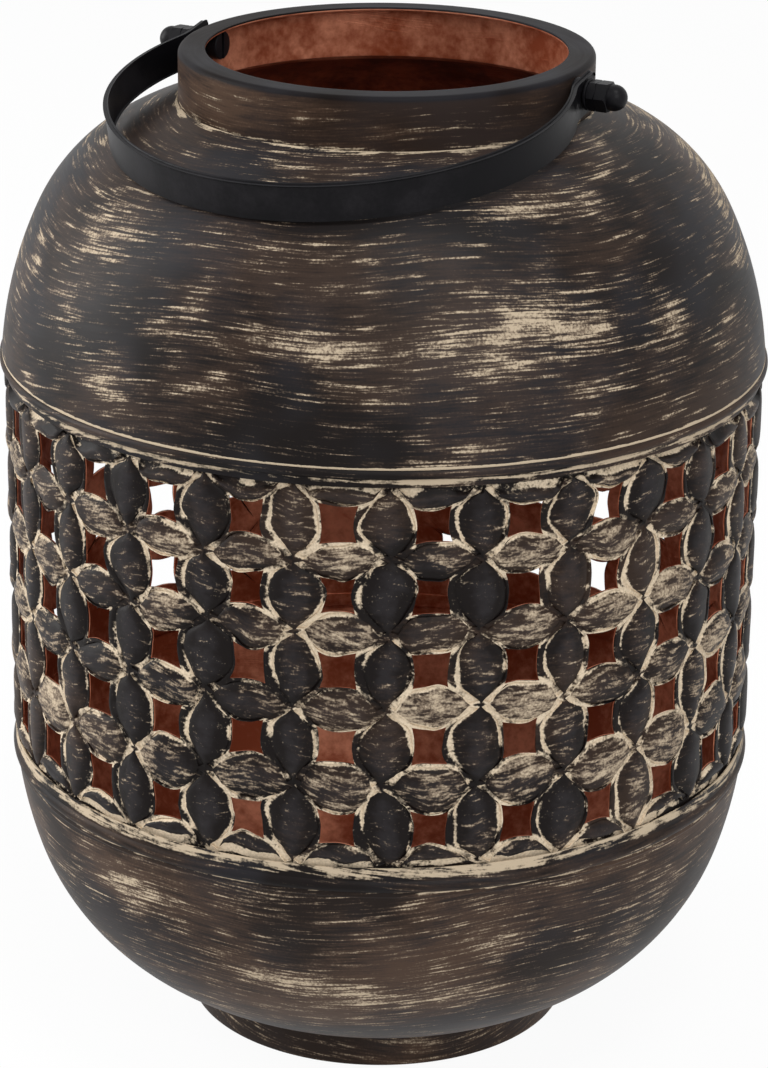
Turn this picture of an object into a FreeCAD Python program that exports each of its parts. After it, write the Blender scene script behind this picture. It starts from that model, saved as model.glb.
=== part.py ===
import FreeCAD, Part
import math
import os
import Sketcher
from FreeCAD import Rotation, Vector
from types import SimpleNamespace

# Punched tin lantern: a spun bowl and dome joined by a pierced band, with a
# turned-in neck and a flat bail that swings on two bolts.
# Millimetres, +Z up, origin at the middle of the foot, -Y is the front.

# Driving sizes

DRIVING = {
    # tin sheet and the small gaps between pieces
    "wall": 0.8,
    "fit": 0.05,
    "seat": 0.05,
    "overrun": 2.0,
    # foot ring, a channel rolled from strip
    "foot_radius": 58.6,
    "foot_height": 10.4,
    "foot_wall": 1.2,
    "foot_flange": 5.0,
    # bowl outline, from its upper edge down to the foot; its edge stands out from the band
    "bowl_step": 0.4,
    "bowl_edge_angle": 5.85,
    "bowl_side_radius": 132.5,
    "bowl_break_angle": 17.55,
    "bowl_belly_radius": 72.5,
    "bowl_slope_angle": 64.98,
    # dome outline, from its lower edge up to the neck; its edge stands out from the band
    "dome_step": 1.6,
    "dome_edge_angle": 4.19,
    "dome_side_radius": 116.34,
    "dome_break_angle": 25.58,
    "dome_shoulder_radius": 54.39,
    "dome_slope_angle": 67.17,
    # pierced band
    "band_radius": 111.2,
    "band_height": 113.3,
    "hole_width": 8.8,
    "hole_height": 9.4,
    "hole_curve": 0.8,
    "column_turn": 7.2,
    # seam rings that carry the band
    "groove_depth": 0.7,
    "lower_groove": 4.0,
    "lower_bead": 3.5,
    "upper_groove": 2.8,
    "upper_bead": 2.5,
    "bead_bulge": 0.75,
    "ring_ledge": 2.1,
    "ring_lap": 5.4,
    "tongue": 2.5,
    "tongue_wall": 0.7,
    # neck collar
    "neck_radius": 60.2,
    "neck_wall": 1.0,
    "neck_height": 14.9,
    "lip_width": 7.9,
    "lip_round": 1.6,
    "skirt": 4.0,
    # candle tray and its rivet
    "tray_radius": 41.0,
    "tray_height": 12.0,
    "tray_wall": 0.6,
    "tray_corner": 3.0,
    "tray_rim": 2.4,
    "rivet_radius": 2.0,
    "rivet_head_radius": 3.6,
    "rivet_tail_radius": 3.4,
    "rivet_tail_height": 1.1,
    # bail
    "bail_turn": 27.8,
    "bail_drop": 5.9,
    "bail_width": 11.0,
    "bail_thickness": 2.0,
    "bail_tip": 5.5,
    "bail_flat": 4.0,
    "bail_bend_radius": 12.0,
    "bail_lean": 20.9,
    "bail_corner_radius": 56.6,
    "bail_corner_turn": 51.4,
    "bail_rest_gap": 0.3,
    # bolts, washers and nuts of the bail
    "bolt_radius": 2.5,
    "bolt_head_radius": 4.25,
    "bolt_head_height": 3.3,
    "bolt_engagement": 5.0,
    "slot_width": 1.2,
    "slot_depth": 1.3,
    "pin_clearance": 0.08,
    "hole_clearance": 0.2,
    "thread_clearance": 0.03,
    "side_play": 0.1,
    "washer_radius": 4.5,
    "washer_hole_clearance": 0.15,
    "inner_washer": 1.0,
    "spacer": 1.65,
    "outer_washer": 0.8,
    "nut_across": 8.0,
    "lock_nut_height": 2.7,
    "cap_hex_height": 3.5,
    "cap_dome_radius": 3.75,
    "cap_collar": 1.0,
    "cap_bore_depth": 6.0,
}

COLUMNS = 27
ROW_SHARES = (0.103, 0.327, 0.523, 0.719, 0.904)

doc = FreeCAD.newDocument("PunchedTinLantern")
sheet = doc.addObject("Spreadsheet::Sheet", "Sizes")


# A size is a number with the sheet formula that gives it, so that sums made
# here can be bound to the sheet

class Size:
    def __init__(self, number, formula):
        self.number = number
        self.formula = formula

    def __add__(self, other):
        return joined(self, "+", other, self.number + number_of(other))

    def __radd__(self, other):
        return joined(other, "+", self, number_of(other) + self.number)

    def __sub__(self, other):
        return joined(self, "-", other, self.number - number_of(other))

    def __rsub__(self, other):
        return joined(other, "-", self, number_of(other) - self.number)

    def __mul__(self, other):
        return joined(self, "*", other, self.number * number_of(other))

    def __rmul__(self, other):
        return joined(other, "*", self, number_of(other) * self.number)

    def __truediv__(self, other):
        return joined(self, "/", other, self.number / number_of(other))

    def __neg__(self):
        return Size(-self.number, "(-1 * " + self.formula + ")")


def number_of(value):
    return value.number if isinstance(value, Size) else value


def formula_of(value):
    return value.formula if isinstance(value, Size) else repr(value)


def joined(left, sign, right, number):
    return Size(number, "(" + formula_of(left) + " " + sign + " " + formula_of(right) + ")")


def cosine(angle):
    return Size(math.cos(math.radians(number_of(angle))), "cos(" + formula_of(angle) + ")")


def sine(angle):
    return Size(math.sin(math.radians(number_of(angle))), "sin(" + formula_of(angle) + ")")


def tangent(angle):
    return Size(math.tan(math.radians(number_of(angle))), "tan(" + formula_of(angle) + ")")


def root(value):
    return Size(math.sqrt(number_of(value)), "sqrt(" + formula_of(value) + ")")


def fill_sheet():
    sizes = SimpleNamespace()
    for row, (alias, value) in enumerate(DRIVING.items(), start=1):
        sheet.set("A%d" % row, alias.replace("_", " "))
        sheet.set("B%d" % row, str(value))
        sheet.setAlias("B%d" % row, alias)
        setattr(sizes, alias, Size(value, "Sizes." + alias))
    doc.recompute()
    return sizes


d = fill_sheet()


# Helpers that draw sketches and features

def new_body(label):
    body = doc.addObject("PartDesign::Body", label)
    body.Label = label
    return body


def new_sketch(body, name, plane):
    sketch = body.newObject("Sketcher::SketchObject", body.Label + "_" + name)
    origin = [item for item in body.Origin.OriginFeatures if item.Role == plane][0]
    sketch.AttachmentSupport = [(origin, "")]
    sketch.MapMode = "FlatFace"
    return sketch


def bind(sketch, kind, refs, value):
    index = sketch.addConstraint(Sketcher.Constraint(kind, *refs, number_of(value)))
    sketch.setExpression("Constraints[%d]" % index, formula_of(value))


def bind_point(sketch, edge, end, x, y):
    for kind, axis, value in (("DistanceX", -2, x), ("DistanceY", -1, y)):
        if isinstance(value, Size):
            bind(sketch, kind, (-1, 1, edge, end), value)
        else:
            sketch.addConstraint(Sketcher.Constraint("PointOnObject", edge, end, axis))


# Closed outline of lines and arcs. Each step is (x, y) for a line, or
# (x, y, centre x, centre y, way) for an arc that turns to the left or right.
def draw_outline(sketch, start, steps):
    edges = []
    here = start
    for step in steps:
        there = (step[0], step[1])
        first = Vector(number_of(here[0]), number_of(here[1]), 0)
        last = Vector(number_of(there[0]), number_of(there[1]), 0)
        if len(step) == 2:
            edge = sketch.addGeometry(Part.LineSegment(first, last))
            ends = (1, 2)
        else:
            centre = Vector(number_of(step[2]), number_of(step[3]), 0)
            begin, finish = (first, last) if step[4] == "left" else (last, first)
            circle = Part.Circle(centre, Vector(0, 0, 1), (first - centre).Length)
            turn = [math.atan2(p.y - centre.y, p.x - centre.x) for p in (begin, finish)]
            edge = sketch.addGeometry(Part.ArcOfCircle(circle, turn[0], turn[1]))
            ends = (1, 2) if step[4] == "left" else (2, 1)
        bind_point(sketch, edge, ends[0], here[0], here[1])
        if len(step) > 2:
            across = here[0] - step[2]
            along = here[1] - step[3]
            bind(sketch, "Radius", (edge,), root(across * across + along * along))
        edges.append((edge, ends))
        here = there
    for (edge, ends), (after, after_ends) in zip(edges, edges[1:] + edges[:1]):
        sketch.addConstraint(Sketcher.Constraint("Coincident", edge, ends[1], after, after_ends[0]))


def draw_circle(sketch, x, y, radius):
    centre = Vector(number_of(x), number_of(y), 0)
    edge = sketch.addGeometry(Part.Circle(centre, Vector(0, 0, 1), radius.number))
    bind_point(sketch, edge, 3, x, y)
    bind(sketch, "Radius", (edge,), radius)


def draw_hexagon(sketch, across):
    corner = across / 2 / cosine(30)
    points = [(corner * cosine(60 * k + 30), corner * sine(60 * k + 30)) for k in range(6)]
    points[1] = (0, corner)
    points[4] = (0, -corner)
    draw_outline(sketch, points[0], points[1:] + points[:1])


def revolve(body, name, start, steps):
    sketch = new_sketch(body, name, "XZ_Plane")
    draw_outline(sketch, start, steps)
    feature = body.newObject("PartDesign::Revolution", body.Label + "_" + name + "_turned")
    feature.Profile = sketch
    feature.ReferenceAxis = (sketch, ["V_Axis"])
    feature.Angle = 360
    sketch.Visibility = False
    body.Tip = feature
    doc.recompute()
    return feature


def pad(body, sketch, length, midplane=False):
    feature = body.newObject("PartDesign::Pad", sketch.Label + "_pad")
    feature.Profile = sketch
    feature.Midplane = midplane
    feature.Length = length.number
    feature.setExpression("Length", length.formula)
    sketch.Visibility = False
    body.Tip = feature
    doc.recompute()
    return feature


def pocket(body, sketch, length, reverse=False, midplane=False):
    before = body.Shape.Volume
    feature = body.newObject("PartDesign::Pocket", sketch.Label + "_pocket")
    feature.Profile = sketch
    feature.Midplane = midplane
    feature.Reversed = reverse
    feature.Length = length.number
    feature.setExpression("Length", length.formula)
    sketch.Visibility = False
    body.Tip = feature
    doc.recompute()
    if body.Shape.Volume >= before:
        raise ValueError(sketch.Label + " cuts nothing")
    return feature


# Outline of the bowl or dome, given from its wide edge inwards. Heights are
# counted away from the edge. Both are a side arc, a tighter arc and a straight slope.
def shell_outline(edge_radius, edge_angle, side, break_angle, tight, slope_angle, wall):
    side_x = edge_radius - side * cosine(edge_angle)
    side_h = -(side * sine(edge_angle))
    tight_x = side_x + (side - tight) * cosine(break_angle)
    tight_h = side_h + (side - tight) * sine(break_angle)
    faces = []
    for depth in (0, wall):
        reach = side - depth
        turn = tight - depth
        face = SimpleNamespace()
        # the edge is cut level, so the inner face starts where its arc crosses that level
        face.edge = (side_x + root(reach * reach - side_h * side_h), 0)
        face.split = (side_x + reach * cosine(break_angle), side_h + reach * sine(break_angle))
        face.slope = (tight_x + turn * cosine(slope_angle), tight_h + turn * sine(slope_angle))
        faces.append(face)
    outline = SimpleNamespace()
    outline.outer, outline.inner = faces
    outline.side = (side_x, side_h, side)
    outline.tight = (tight_x, tight_h)
    outline.slope_angle = slope_angle
    return outline


# Height above the edge where a face's straight slope reaches a radius
def slope_height(outline, face, radius):
    return face.slope[1] + (face.slope[0] - radius) / tangent(outline.slope_angle)


# Radius where a face's straight slope reaches a height above the edge
def slope_radius(outline, face, height):
    return face.slope[0] - (height - face.slope[1]) * tangent(outline.slope_angle)


# Inner radius of a shell at a small height above its edge
def inner_radius(outline, wall, height):
    side_x, side_h, side = outline.side
    reach = side - wall
    rise = height - side_h
    return side_x + root(reach * reach - rise * rise)


bowl_radius = d.band_radius + d.bowl_step
dome_radius = d.band_radius + d.dome_step
bowl_lines = shell_outline(
    bowl_radius, d.bowl_edge_angle, d.bowl_side_radius, d.bowl_break_angle,
    d.bowl_belly_radius, d.bowl_slope_angle, d.wall)
dome_lines = shell_outline(
    dome_radius, d.dome_edge_angle, d.dome_side_radius, d.dome_break_angle,
    d.dome_shoulder_radius, d.dome_slope_angle, d.wall)

# Levels of the stack, from the ground up

bowl_depth = slope_height(bowl_lines, bowl_lines.outer, d.foot_radius)
dome_rise = slope_height(dome_lines, dome_lines.outer, d.neck_radius)
floor_level = d.foot_height + d.wall
bowl_edge = d.foot_height + bowl_depth
band_start = bowl_edge + d.lower_bead + d.lower_groove
band_end = band_start + d.band_height
dome_edge = band_end + d.upper_groove + d.upper_bead
crease = dome_edge + dome_rise
top = crease + d.neck_height
pivot_level = top - d.bail_drop
band_bottom = bowl_edge + d.ring_ledge
band_top = band_end + d.ring_lap


# Foot and bowl

def foot_ring():
    body = new_body("foot_ring")
    inside = d.foot_radius - d.foot_wall
    flange = d.foot_radius - d.foot_flange
    revolve(body, "channel", (d.foot_radius, 0), [
        (d.foot_radius, d.foot_height),
        (flange, d.foot_height),
        (flange, d.foot_height - d.foot_wall),
        (inside, d.foot_height - d.foot_wall),
        (inside, d.foot_wall),
        (flange, d.foot_wall),
        (flange, 0),
        (d.foot_radius, 0)])
    return body


def lower_bowl():
    body = new_body("lower_bowl")
    outer = bowl_lines.outer
    inner = bowl_lines.inner
    side = (bowl_lines.side[0], bowl_edge - bowl_lines.side[1])
    tight = (bowl_lines.tight[0], bowl_edge - bowl_lines.tight[1])
    bore = d.rivet_radius + d.fit
    corner = slope_radius(bowl_lines, inner, bowl_depth - d.wall)
    revolve(body, "sheet", (outer.edge[0], bowl_edge), [
        (inner.edge[0], bowl_edge),
        (inner.split[0], bowl_edge - inner.split[1], side[0], side[1], "right"),
        (inner.slope[0], bowl_edge - inner.slope[1], tight[0], tight[1], "right"),
        (corner, floor_level),
        (bore, floor_level),
        (bore, d.foot_height),
        (d.foot_radius, d.foot_height),
        (outer.slope[0], bowl_edge - outer.slope[1]),
        (outer.split[0], bowl_edge - outer.split[1], tight[0], tight[1], "left"),
        (outer.edge[0], bowl_edge, side[0], side[1], "left")])
    return body


# Candle tray: a shallow cup with an out-turned rim. A rivet with a flush,
# countersunk head holds it to the bowl's floor.

def candle_tray():
    body = new_body("candle_tray")
    bore = d.rivet_radius + d.fit
    sink = d.rivet_head_radius + d.fit
    under = floor_level
    base = floor_level + d.tray_wall
    inside = d.tray_radius - d.tray_wall
    bend = d.tray_radius - d.tray_corner
    bend_level = under + d.tray_corner
    rim_level = under + d.tray_height
    rim_edge = d.tray_radius + d.tray_rim
    revolve(body, "cup", (bore, under), [
        (bend, under),
        (d.tray_radius, bend_level, bend, bend_level, "left"),
        (d.tray_radius, rim_level - d.tray_wall),
        (rim_edge, rim_level - d.tray_wall),
        (rim_edge, rim_level),
        (inside, rim_level),
        (inside, bend_level),
        (bend, base, bend, bend_level, "right"),
        (sink, base),
        (bore, under)])
    return body


def tray_rivet():
    body = new_body("tray_rivet")
    below = d.foot_height - d.rivet_tail_height
    head_top = floor_level + d.tray_wall
    revolve(body, "turned", (0, below), [
        (d.rivet_tail_radius, below),
        (d.rivet_tail_radius, d.foot_height),
        (d.rivet_radius, d.foot_height),
        (d.rivet_radius, floor_level),
        (d.rivet_head_radius, head_top),
        (0, head_top),
        (0, below)])
    return body


# Seam rings. Each has a tongue inside the shell, a rounded bead in line with
# the shell's edge and a plain groove that laps the band.

def bead_arc(bottom, height, radius):
    bulge = d.bead_bulge
    arc_radius = (height * height / 4 + bulge * bulge) / (2 * bulge)
    return (radius + bulge - arc_radius, bottom + height / 2)


def lower_seam_ring():
    body = new_body("lower_seam_ring")
    inside = d.band_radius + d.fit
    groove = d.band_radius + d.groove_depth
    tongue_level = bowl_edge - d.tongue
    tongue = inner_radius(bowl_lines, d.wall, d.tongue) - d.fit
    tongue_inside = tongue - d.tongue_wall
    bead_top = bowl_edge + d.lower_bead
    centre = bead_arc(bowl_edge, d.lower_bead, groove)
    revolve(body, "section", (tongue_inside, tongue_level), [
        (tongue, tongue_level),
        (tongue, bowl_edge),
        (groove, bowl_edge),
        (groove, bead_top, centre[0], centre[1], "left"),
        (groove, band_start),
        (inside, band_start),
        (inside, band_bottom),
        (tongue_inside, band_bottom),
        (tongue_inside, tongue_level)])
    return body


def upper_seam_ring():
    body = new_body("upper_seam_ring")
    inside = d.band_radius + d.fit
    groove = d.band_radius + d.groove_depth
    tongue_level = dome_edge + d.tongue
    tongue = inner_radius(dome_lines, d.wall, d.tongue) - d.fit
    bead_bottom = band_end + d.upper_groove
    centre = bead_arc(bead_bottom, d.upper_bead, dome_radius)
    revolve(body, "section", (inside, band_end), [
        (groove, band_end),
        (groove, bead_bottom),
        (dome_radius, bead_bottom),
        (dome_radius, dome_edge, centre[0], centre[1], "left"),
        (tongue, dome_edge),
        (tongue, tongue_level),
        (inside, tongue_level),
        (inside, band_end)])
    return body


# Pierced band: a rolled strip with columns of concave four-sided holes

def pierced_band():
    body = new_body("pierced_band")
    inside = d.band_radius - d.wall
    revolve(body, "strip", (inside, band_bottom), [
        (d.band_radius, band_bottom),
        (d.band_radius, band_top),
        (inside, band_top),
        (inside, band_bottom)])
    # the holes are drawn on a plane just inside the wall and cut outwards
    sketch = new_sketch(body, "holes", "XZ_Plane")
    sketch.setExpression(".AttachmentOffset.Base.z", (inside - d.overrun).formula)
    for share in ROW_SHARES:
        draw_hole(sketch, band_start + d.band_height * share)
    column = pocket(body, sketch, d.wall + 2 * d.overrun, reverse=True)
    before = body.Shape.Volume
    pattern = body.newObject("PartDesign::PolarPattern", "pierced_band_columns")
    pattern.Originals = [column]
    pattern.Axis = ([item for item in body.Origin.OriginFeatures if item.Role == "Z_Axis"][0], [""])
    pattern.Angle = 360
    pattern.Occurrences = COLUMNS
    body.Tip = pattern
    body.Placement = FreeCAD.Placement(Vector(0, 0, 0), Rotation(Vector(0, 0, 1), 0))
    body.setExpression(".Placement.Rotation.Angle", d.column_turn.formula)
    doc.recompute()
    if body.Shape.Volume >= before:
        raise ValueError("the hole pattern cuts nothing")
    return body


# One hole: its four sides curve inwards, where the petals around it stand
def draw_hole(sketch, level):
    across = d.hole_width / 2 + d.hole_curve
    up = d.hole_height / 2 + d.hole_curve
    bulge = d.hole_curve
    level_arc = (across * across + bulge * bulge) / (2 * bulge)
    upright_arc = (up * up + bulge * bulge) / (2 * bulge)
    above = level + up - bulge + level_arc
    below = level - up + bulge - level_arc
    beside = across - bulge + upright_arc
    draw_outline(sketch, (-across, level - up), [
        (across, level - up, 0, below, "right"),
        (across, level + up, beside, level, "right"),
        (-across, level + up, 0, above, "right"),
        (-across, level - up, -beside, level, "right")])


# Dome and neck

def upper_dome():
    body = new_body("upper_dome")
    outer = dome_lines.outer
    inner = dome_lines.inner
    side = (dome_lines.side[0], dome_edge + dome_lines.side[1])
    tight = (dome_lines.tight[0], dome_edge + dome_lines.tight[1])
    bore = d.neck_radius + d.fit
    revolve(body, "sheet", (outer.edge[0], dome_edge), [
        (outer.split[0], dome_edge + outer.split[1], side[0], side[1], "left"),
        (outer.slope[0], dome_edge + outer.slope[1], tight[0], tight[1], "left"),
        (bore, dome_edge + slope_height(dome_lines, outer, bore)),
        (bore, dome_edge + slope_height(dome_lines, inner, bore)),
        (inner.slope[0], dome_edge + inner.slope[1]),
        (inner.split[0], dome_edge + inner.split[1], tight[0], tight[1], "right"),
        (inner.edge[0], dome_edge, side[0], side[1], "right"),
        (outer.edge[0], dome_edge)])
    return body


def neck_collar():
    body = new_body("neck_collar")
    inside = d.neck_radius - d.neck_wall
    lip_edge = d.neck_radius - d.lip_width
    round_x = d.neck_radius - d.lip_round
    round_z = top - d.lip_round
    steep = cosine(d.dome_slope_angle) / sine(d.dome_slope_angle)
    lap = d.wall + d.fit
    skirt_level = crease - lap / sine(d.dome_slope_angle)
    skirt_edge = d.neck_radius + d.skirt
    sheet_drop = d.neck_wall / sine(d.dome_slope_angle)
    revolve(body, "sheet", (lip_edge, top), [
        (lip_edge, top - d.neck_wall),
        (round_x, top - d.neck_wall),
        (inside, round_z, round_x, round_z, "right"),
        (inside, skirt_level - sheet_drop + d.neck_wall * steep),
        (skirt_edge, skirt_level - sheet_drop - d.skirt * steep),
        (skirt_edge, skirt_level - d.skirt * steep),
        (d.neck_radius, skirt_level),
        (d.neck_radius, round_z),
        (round_x, top, round_x, round_z, "left"),
        (lip_edge, top)])
    sketch = new_sketch(body, "bolt_holes", "YZ_Plane")
    draw_circle(sketch, 0, pivot_level, d.bolt_radius + d.hole_clearance)
    pocket(body, sketch, 2 * d.neck_radius + d.overrun, midplane=True)
    body.Placement = FreeCAD.Placement(Vector(0, 0, 0), Rotation(Vector(0, 0, 1), 0))
    body.setExpression(".Placement.Rotation.Angle", (-d.bail_turn).formula)
    return body


# Bail: its legs start flat against the washers, bend outwards and close in one wide arc

bail_inside = d.neck_radius + d.seat + d.spacer + d.side_play
bail_outside = bail_inside + d.bail_thickness


def bail_axis(side):
    turn = math.radians(d.bail_turn.number)
    return Vector(side * math.cos(turn), -side * math.sin(turn), 0)


def bail_placement(angle):
    axis = bail_axis(1)
    forward = Vector(axis.y, -axis.x, 0)
    drop = math.radians(angle)
    reach = forward * math.cos(drop) - Vector(0, 0, math.sin(drop))
    turned = Rotation(axis, reach, axis.cross(reach), "XYZ")
    return FreeCAD.Placement(Vector(0, 0, pivot_level.number), turned)


def bail_face(depth):
    # depth is counted inwards from the outer face
    face = SimpleNamespace()
    x = bail_outside - depth
    bend = d.bail_bend_radius + depth
    bend_x = x + bend
    corner = d.bail_corner_radius - depth
    left = d.bail_lean
    split = d.bail_corner_turn - d.bail_lean
    face.foot = (x, -d.bail_tip)
    face.straight = (x, d.bail_flat)
    face.bend_centre = (bend_x, d.bail_flat)
    face.lean = (bend_x - bend * cosine(left), d.bail_flat + bend * sine(left))
    face.corner_centre = (face.lean[0] - corner * cosine(left), face.lean[1] + corner * sine(left))
    face.split = (
        face.corner_centre[0] + corner * cosine(split), face.corner_centre[1] + corner * sine(split))
    # the top arc goes on from there and crosses the middle square to it
    face.top_y = face.corner_centre[1] - face.corner_centre[0] * tangent(split)
    face.top_radius = corner + face.corner_centre[0] / cosine(split)
    return face


def handle():
    body = new_body("handle")
    outer = bail_face(0)
    inner = bail_face(d.bail_thickness)
    apex_out = (0, outer.top_y + outer.top_radius)
    apex_in = (0, inner.top_y + inner.top_radius)
    steps = [
        outer.straight,
        outer.lean + outer.bend_centre + ("right",),
        outer.split + outer.corner_centre + ("left",),
        apex_out + (0, outer.top_y, "left"),
        mirrored(outer.split) + (0, outer.top_y, "left"),
        mirrored(outer.lean) + mirrored(outer.corner_centre) + ("left",),
        mirrored(outer.straight) + mirrored(outer.bend_centre) + ("right",),
        mirrored(outer.foot),
        mirrored(inner.foot),
        mirrored(inner.straight),
        mirrored(inner.lean) + mirrored(inner.bend_centre) + ("left",),
        mirrored(inner.split) + mirrored(inner.corner_centre) + ("right",),
        apex_in + (0, inner.top_y, "right"),
        inner.split + (0, inner.top_y, "right"),
        inner.lean + inner.corner_centre + ("right",),
        inner.straight + inner.bend_centre + ("left",),
        inner.foot,
        outer.foot]
    sketch = new_sketch(body, "strip", "XY_Plane")
    draw_outline(sketch, outer.foot, steps)
    pad(body, sketch, d.bail_width, midplane=True)
    holes = new_sketch(body, "pivot_holes", "YZ_Plane")
    draw_circle(holes, 0, 0, d.bolt_radius + d.pin_clearance)
    pocket(body, holes, 2 * bail_outside + d.overrun, midplane=True)
    return body


def mirrored(point):
    return (-point[0], point[1])


# Swing the bail down onto the shoulder until it rests there, a small gap off
def rest_on_dome(body, dome):
    low = 0.0
    high = 45.0
    for _ in range(14):
        middle = (low + high) / 2
        body.Placement = bail_placement(middle)
        gap = body.Shape.distToShape(dome.Shape)[0]
        if gap > d.bail_rest_gap.number:
            low = middle
        else:
            high = middle
    body.Placement = bail_placement(low)
    print("bail rests %.2f degrees below level" % low)


# Pivot fasteners. Each is made along its own Z axis from zero and then set on
# the pivot line, at a distance from the lantern's middle.

def set_on_pivot(body, side, distance):
    axis = bail_axis(side)
    up = Vector(0, 0, 1)
    turned = Rotation(up, axis.cross(up), axis, "ZXY")
    body.Placement = FreeCAD.Placement(Vector(0, 0, 0), turned)
    shift = distance * side
    body.setExpression(".Placement.Base.x", (shift * cosine(d.bail_turn)).formula)
    body.setExpression(".Placement.Base.y", (-(shift * sine(d.bail_turn))).formula)
    body.setExpression(".Placement.Base.z", pivot_level.formula)


neck_inside = d.neck_radius - d.neck_wall
inner_washer_face = root(neck_inside * neck_inside - d.washer_radius * d.washer_radius) - d.seat
inner_washer_back = inner_washer_face - d.inner_washer
bolt_start = inner_washer_back - d.bolt_head_height
spacer_start = d.neck_radius + d.seat
outer_washer_start = bail_outside + d.side_play
lock_nut_start = outer_washer_start + d.outer_washer
cap_nut_start = lock_nut_start + d.lock_nut_height


def pivot_bolt(label, side):
    body = new_body(label)
    end = cap_nut_start + d.bolt_engagement - bolt_start
    revolve(body, "turned", (0, 0), [
        (d.bolt_head_radius, 0),
        (d.bolt_head_radius, d.bolt_head_height),
        (d.bolt_radius, d.bolt_head_height),
        (d.bolt_radius, end),
        (0, end),
        (0, 0)])
    slot = new_sketch(body, "slot", "XY_Plane")
    across = d.slot_width / 2
    along = d.bolt_head_radius + d.overrun
    draw_outline(slot, (-along, -across), [
        (along, -across), (along, across), (-along, across), (-along, -across)])
    pocket(body, slot, d.slot_depth, reverse=True)
    set_on_pivot(body, side, bolt_start)
    return body


def washer(label, side, start, thickness):
    body = new_body(label)
    sketch = new_sketch(body, "ring", "XY_Plane")
    draw_circle(sketch, 0, 0, d.washer_radius)
    draw_circle(sketch, 0, 0, d.bolt_radius + d.washer_hole_clearance)
    pad(body, sketch, thickness)
    set_on_pivot(body, side, start)
    return body


def lock_nut(label, side):
    body = new_body(label)
    sketch = new_sketch(body, "hexagon", "XY_Plane")
    draw_hexagon(sketch, d.nut_across)
    draw_circle(sketch, 0, 0, d.bolt_radius + d.thread_clearance)
    pad(body, sketch, d.lock_nut_height)
    set_on_pivot(body, side, lock_nut_start)
    return body


def cap_nut(label, side):
    body = new_body(label)
    sketch = new_sketch(body, "hexagon", "XY_Plane")
    draw_hexagon(sketch, d.nut_across)
    pad(body, sketch, d.cap_hex_height)
    collar = d.cap_hex_height + d.cap_collar
    revolve(body, "cap", (0, 0), [
        (d.cap_dome_radius, 0),
        (d.cap_dome_radius, collar),
        (0, collar + d.cap_dome_radius, 0, collar, "left"),
        (0, 0)])
    bore = new_sketch(body, "bore", "XY_Plane")
    draw_circle(bore, 0, 0, d.bolt_radius + d.thread_clearance)
    pocket(body, bore, d.cap_bore_depth, reverse=True)
    set_on_pivot(body, side, cap_nut_start)
    return body


# The lantern

pieces = [
    foot_ring(),
    lower_bowl(),
    candle_tray(),
    tray_rivet(),
    lower_seam_ring(),
    pierced_band(),
    upper_seam_ring(),
    upper_dome(),
    neck_collar(),
    handle(),
]

for name, side in (("right", 1), ("left", -1)):
    pieces.append(pivot_bolt("pivot_bolt_" + name, side))
    pieces.append(washer("inner_washer_" + name, side, inner_washer_back, d.inner_washer))
    pieces.append(washer("spacer_washer_" + name, side, spacer_start, d.spacer))
    pieces.append(washer("outer_washer_" + name, side, outer_washer_start, d.outer_washer))
    pieces.append(lock_nut("lock_nut_" + name, side))
    pieces.append(cap_nut("cap_nut_" + name, side))

doc.recompute()
by_label = {body.Label: body for body in pieces}
rest_on_dome(by_label["handle"], by_label["upper_dome"])
doc.recompute()

# Nothing is written unless every object and every solid is sound

for item in doc.Objects:
    if "Invalid" in item.State or "Error" in item.State:
        raise ValueError(item.Label + " failed: " + str(item.State))
for body in pieces:
    shape = body.Shape
    if shape.isNull() or not shape.isValid() or len(shape.Solids) != 1:
        raise ValueError(body.Label + " is not one valid solid")

os.makedirs("parts", exist_ok=True)
for body in pieces:
    body.Shape.exportStep("parts/" + body.Label + ".step")

print("overall height %.2f, pivot level %.2f" % (top.number, pivot_level.number))
print("bail pivot line turned %.1f degrees, %d pieces" % (d.bail_turn.number, len(pieces)))
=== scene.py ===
import random
from math import asin, ceil, cos, degrees, exp, hypot, pi, radians, sin, sqrt, tan, tau

import bmesh
import bpy
from mathutils import Matrix, Vector


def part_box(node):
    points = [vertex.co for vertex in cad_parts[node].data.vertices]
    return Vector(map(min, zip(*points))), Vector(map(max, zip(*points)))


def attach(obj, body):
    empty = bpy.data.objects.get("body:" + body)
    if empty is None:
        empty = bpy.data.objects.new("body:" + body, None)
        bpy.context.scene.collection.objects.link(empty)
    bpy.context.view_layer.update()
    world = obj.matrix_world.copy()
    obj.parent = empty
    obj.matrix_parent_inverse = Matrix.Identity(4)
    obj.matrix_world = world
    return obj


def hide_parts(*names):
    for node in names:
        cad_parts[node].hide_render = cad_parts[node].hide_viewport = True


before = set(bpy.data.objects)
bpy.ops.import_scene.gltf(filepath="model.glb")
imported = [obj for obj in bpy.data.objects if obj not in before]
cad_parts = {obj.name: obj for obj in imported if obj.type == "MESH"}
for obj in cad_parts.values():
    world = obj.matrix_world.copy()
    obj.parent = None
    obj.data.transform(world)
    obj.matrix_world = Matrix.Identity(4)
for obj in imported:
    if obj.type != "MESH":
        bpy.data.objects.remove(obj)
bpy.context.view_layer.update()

# Punched tin lantern. Sizes are millimetres unless a name says otherwise;
# meshes are in metres.

mm = 0.001


# Camera: the photograph's viewing angle

photoCamera = {
    "focalPixels": 3586.5,
    "imageWidth": 768,
    "imageHeight": 1068,
    "centreX": 381.59,  # pixel that the lens looks straight at
    "centreY": 553.02,
    "place": (0, -1.0154, 0.5367),
    "pitch": 21.152,
    "roll": 0.608,
    "sensor": 36,
}


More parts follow.
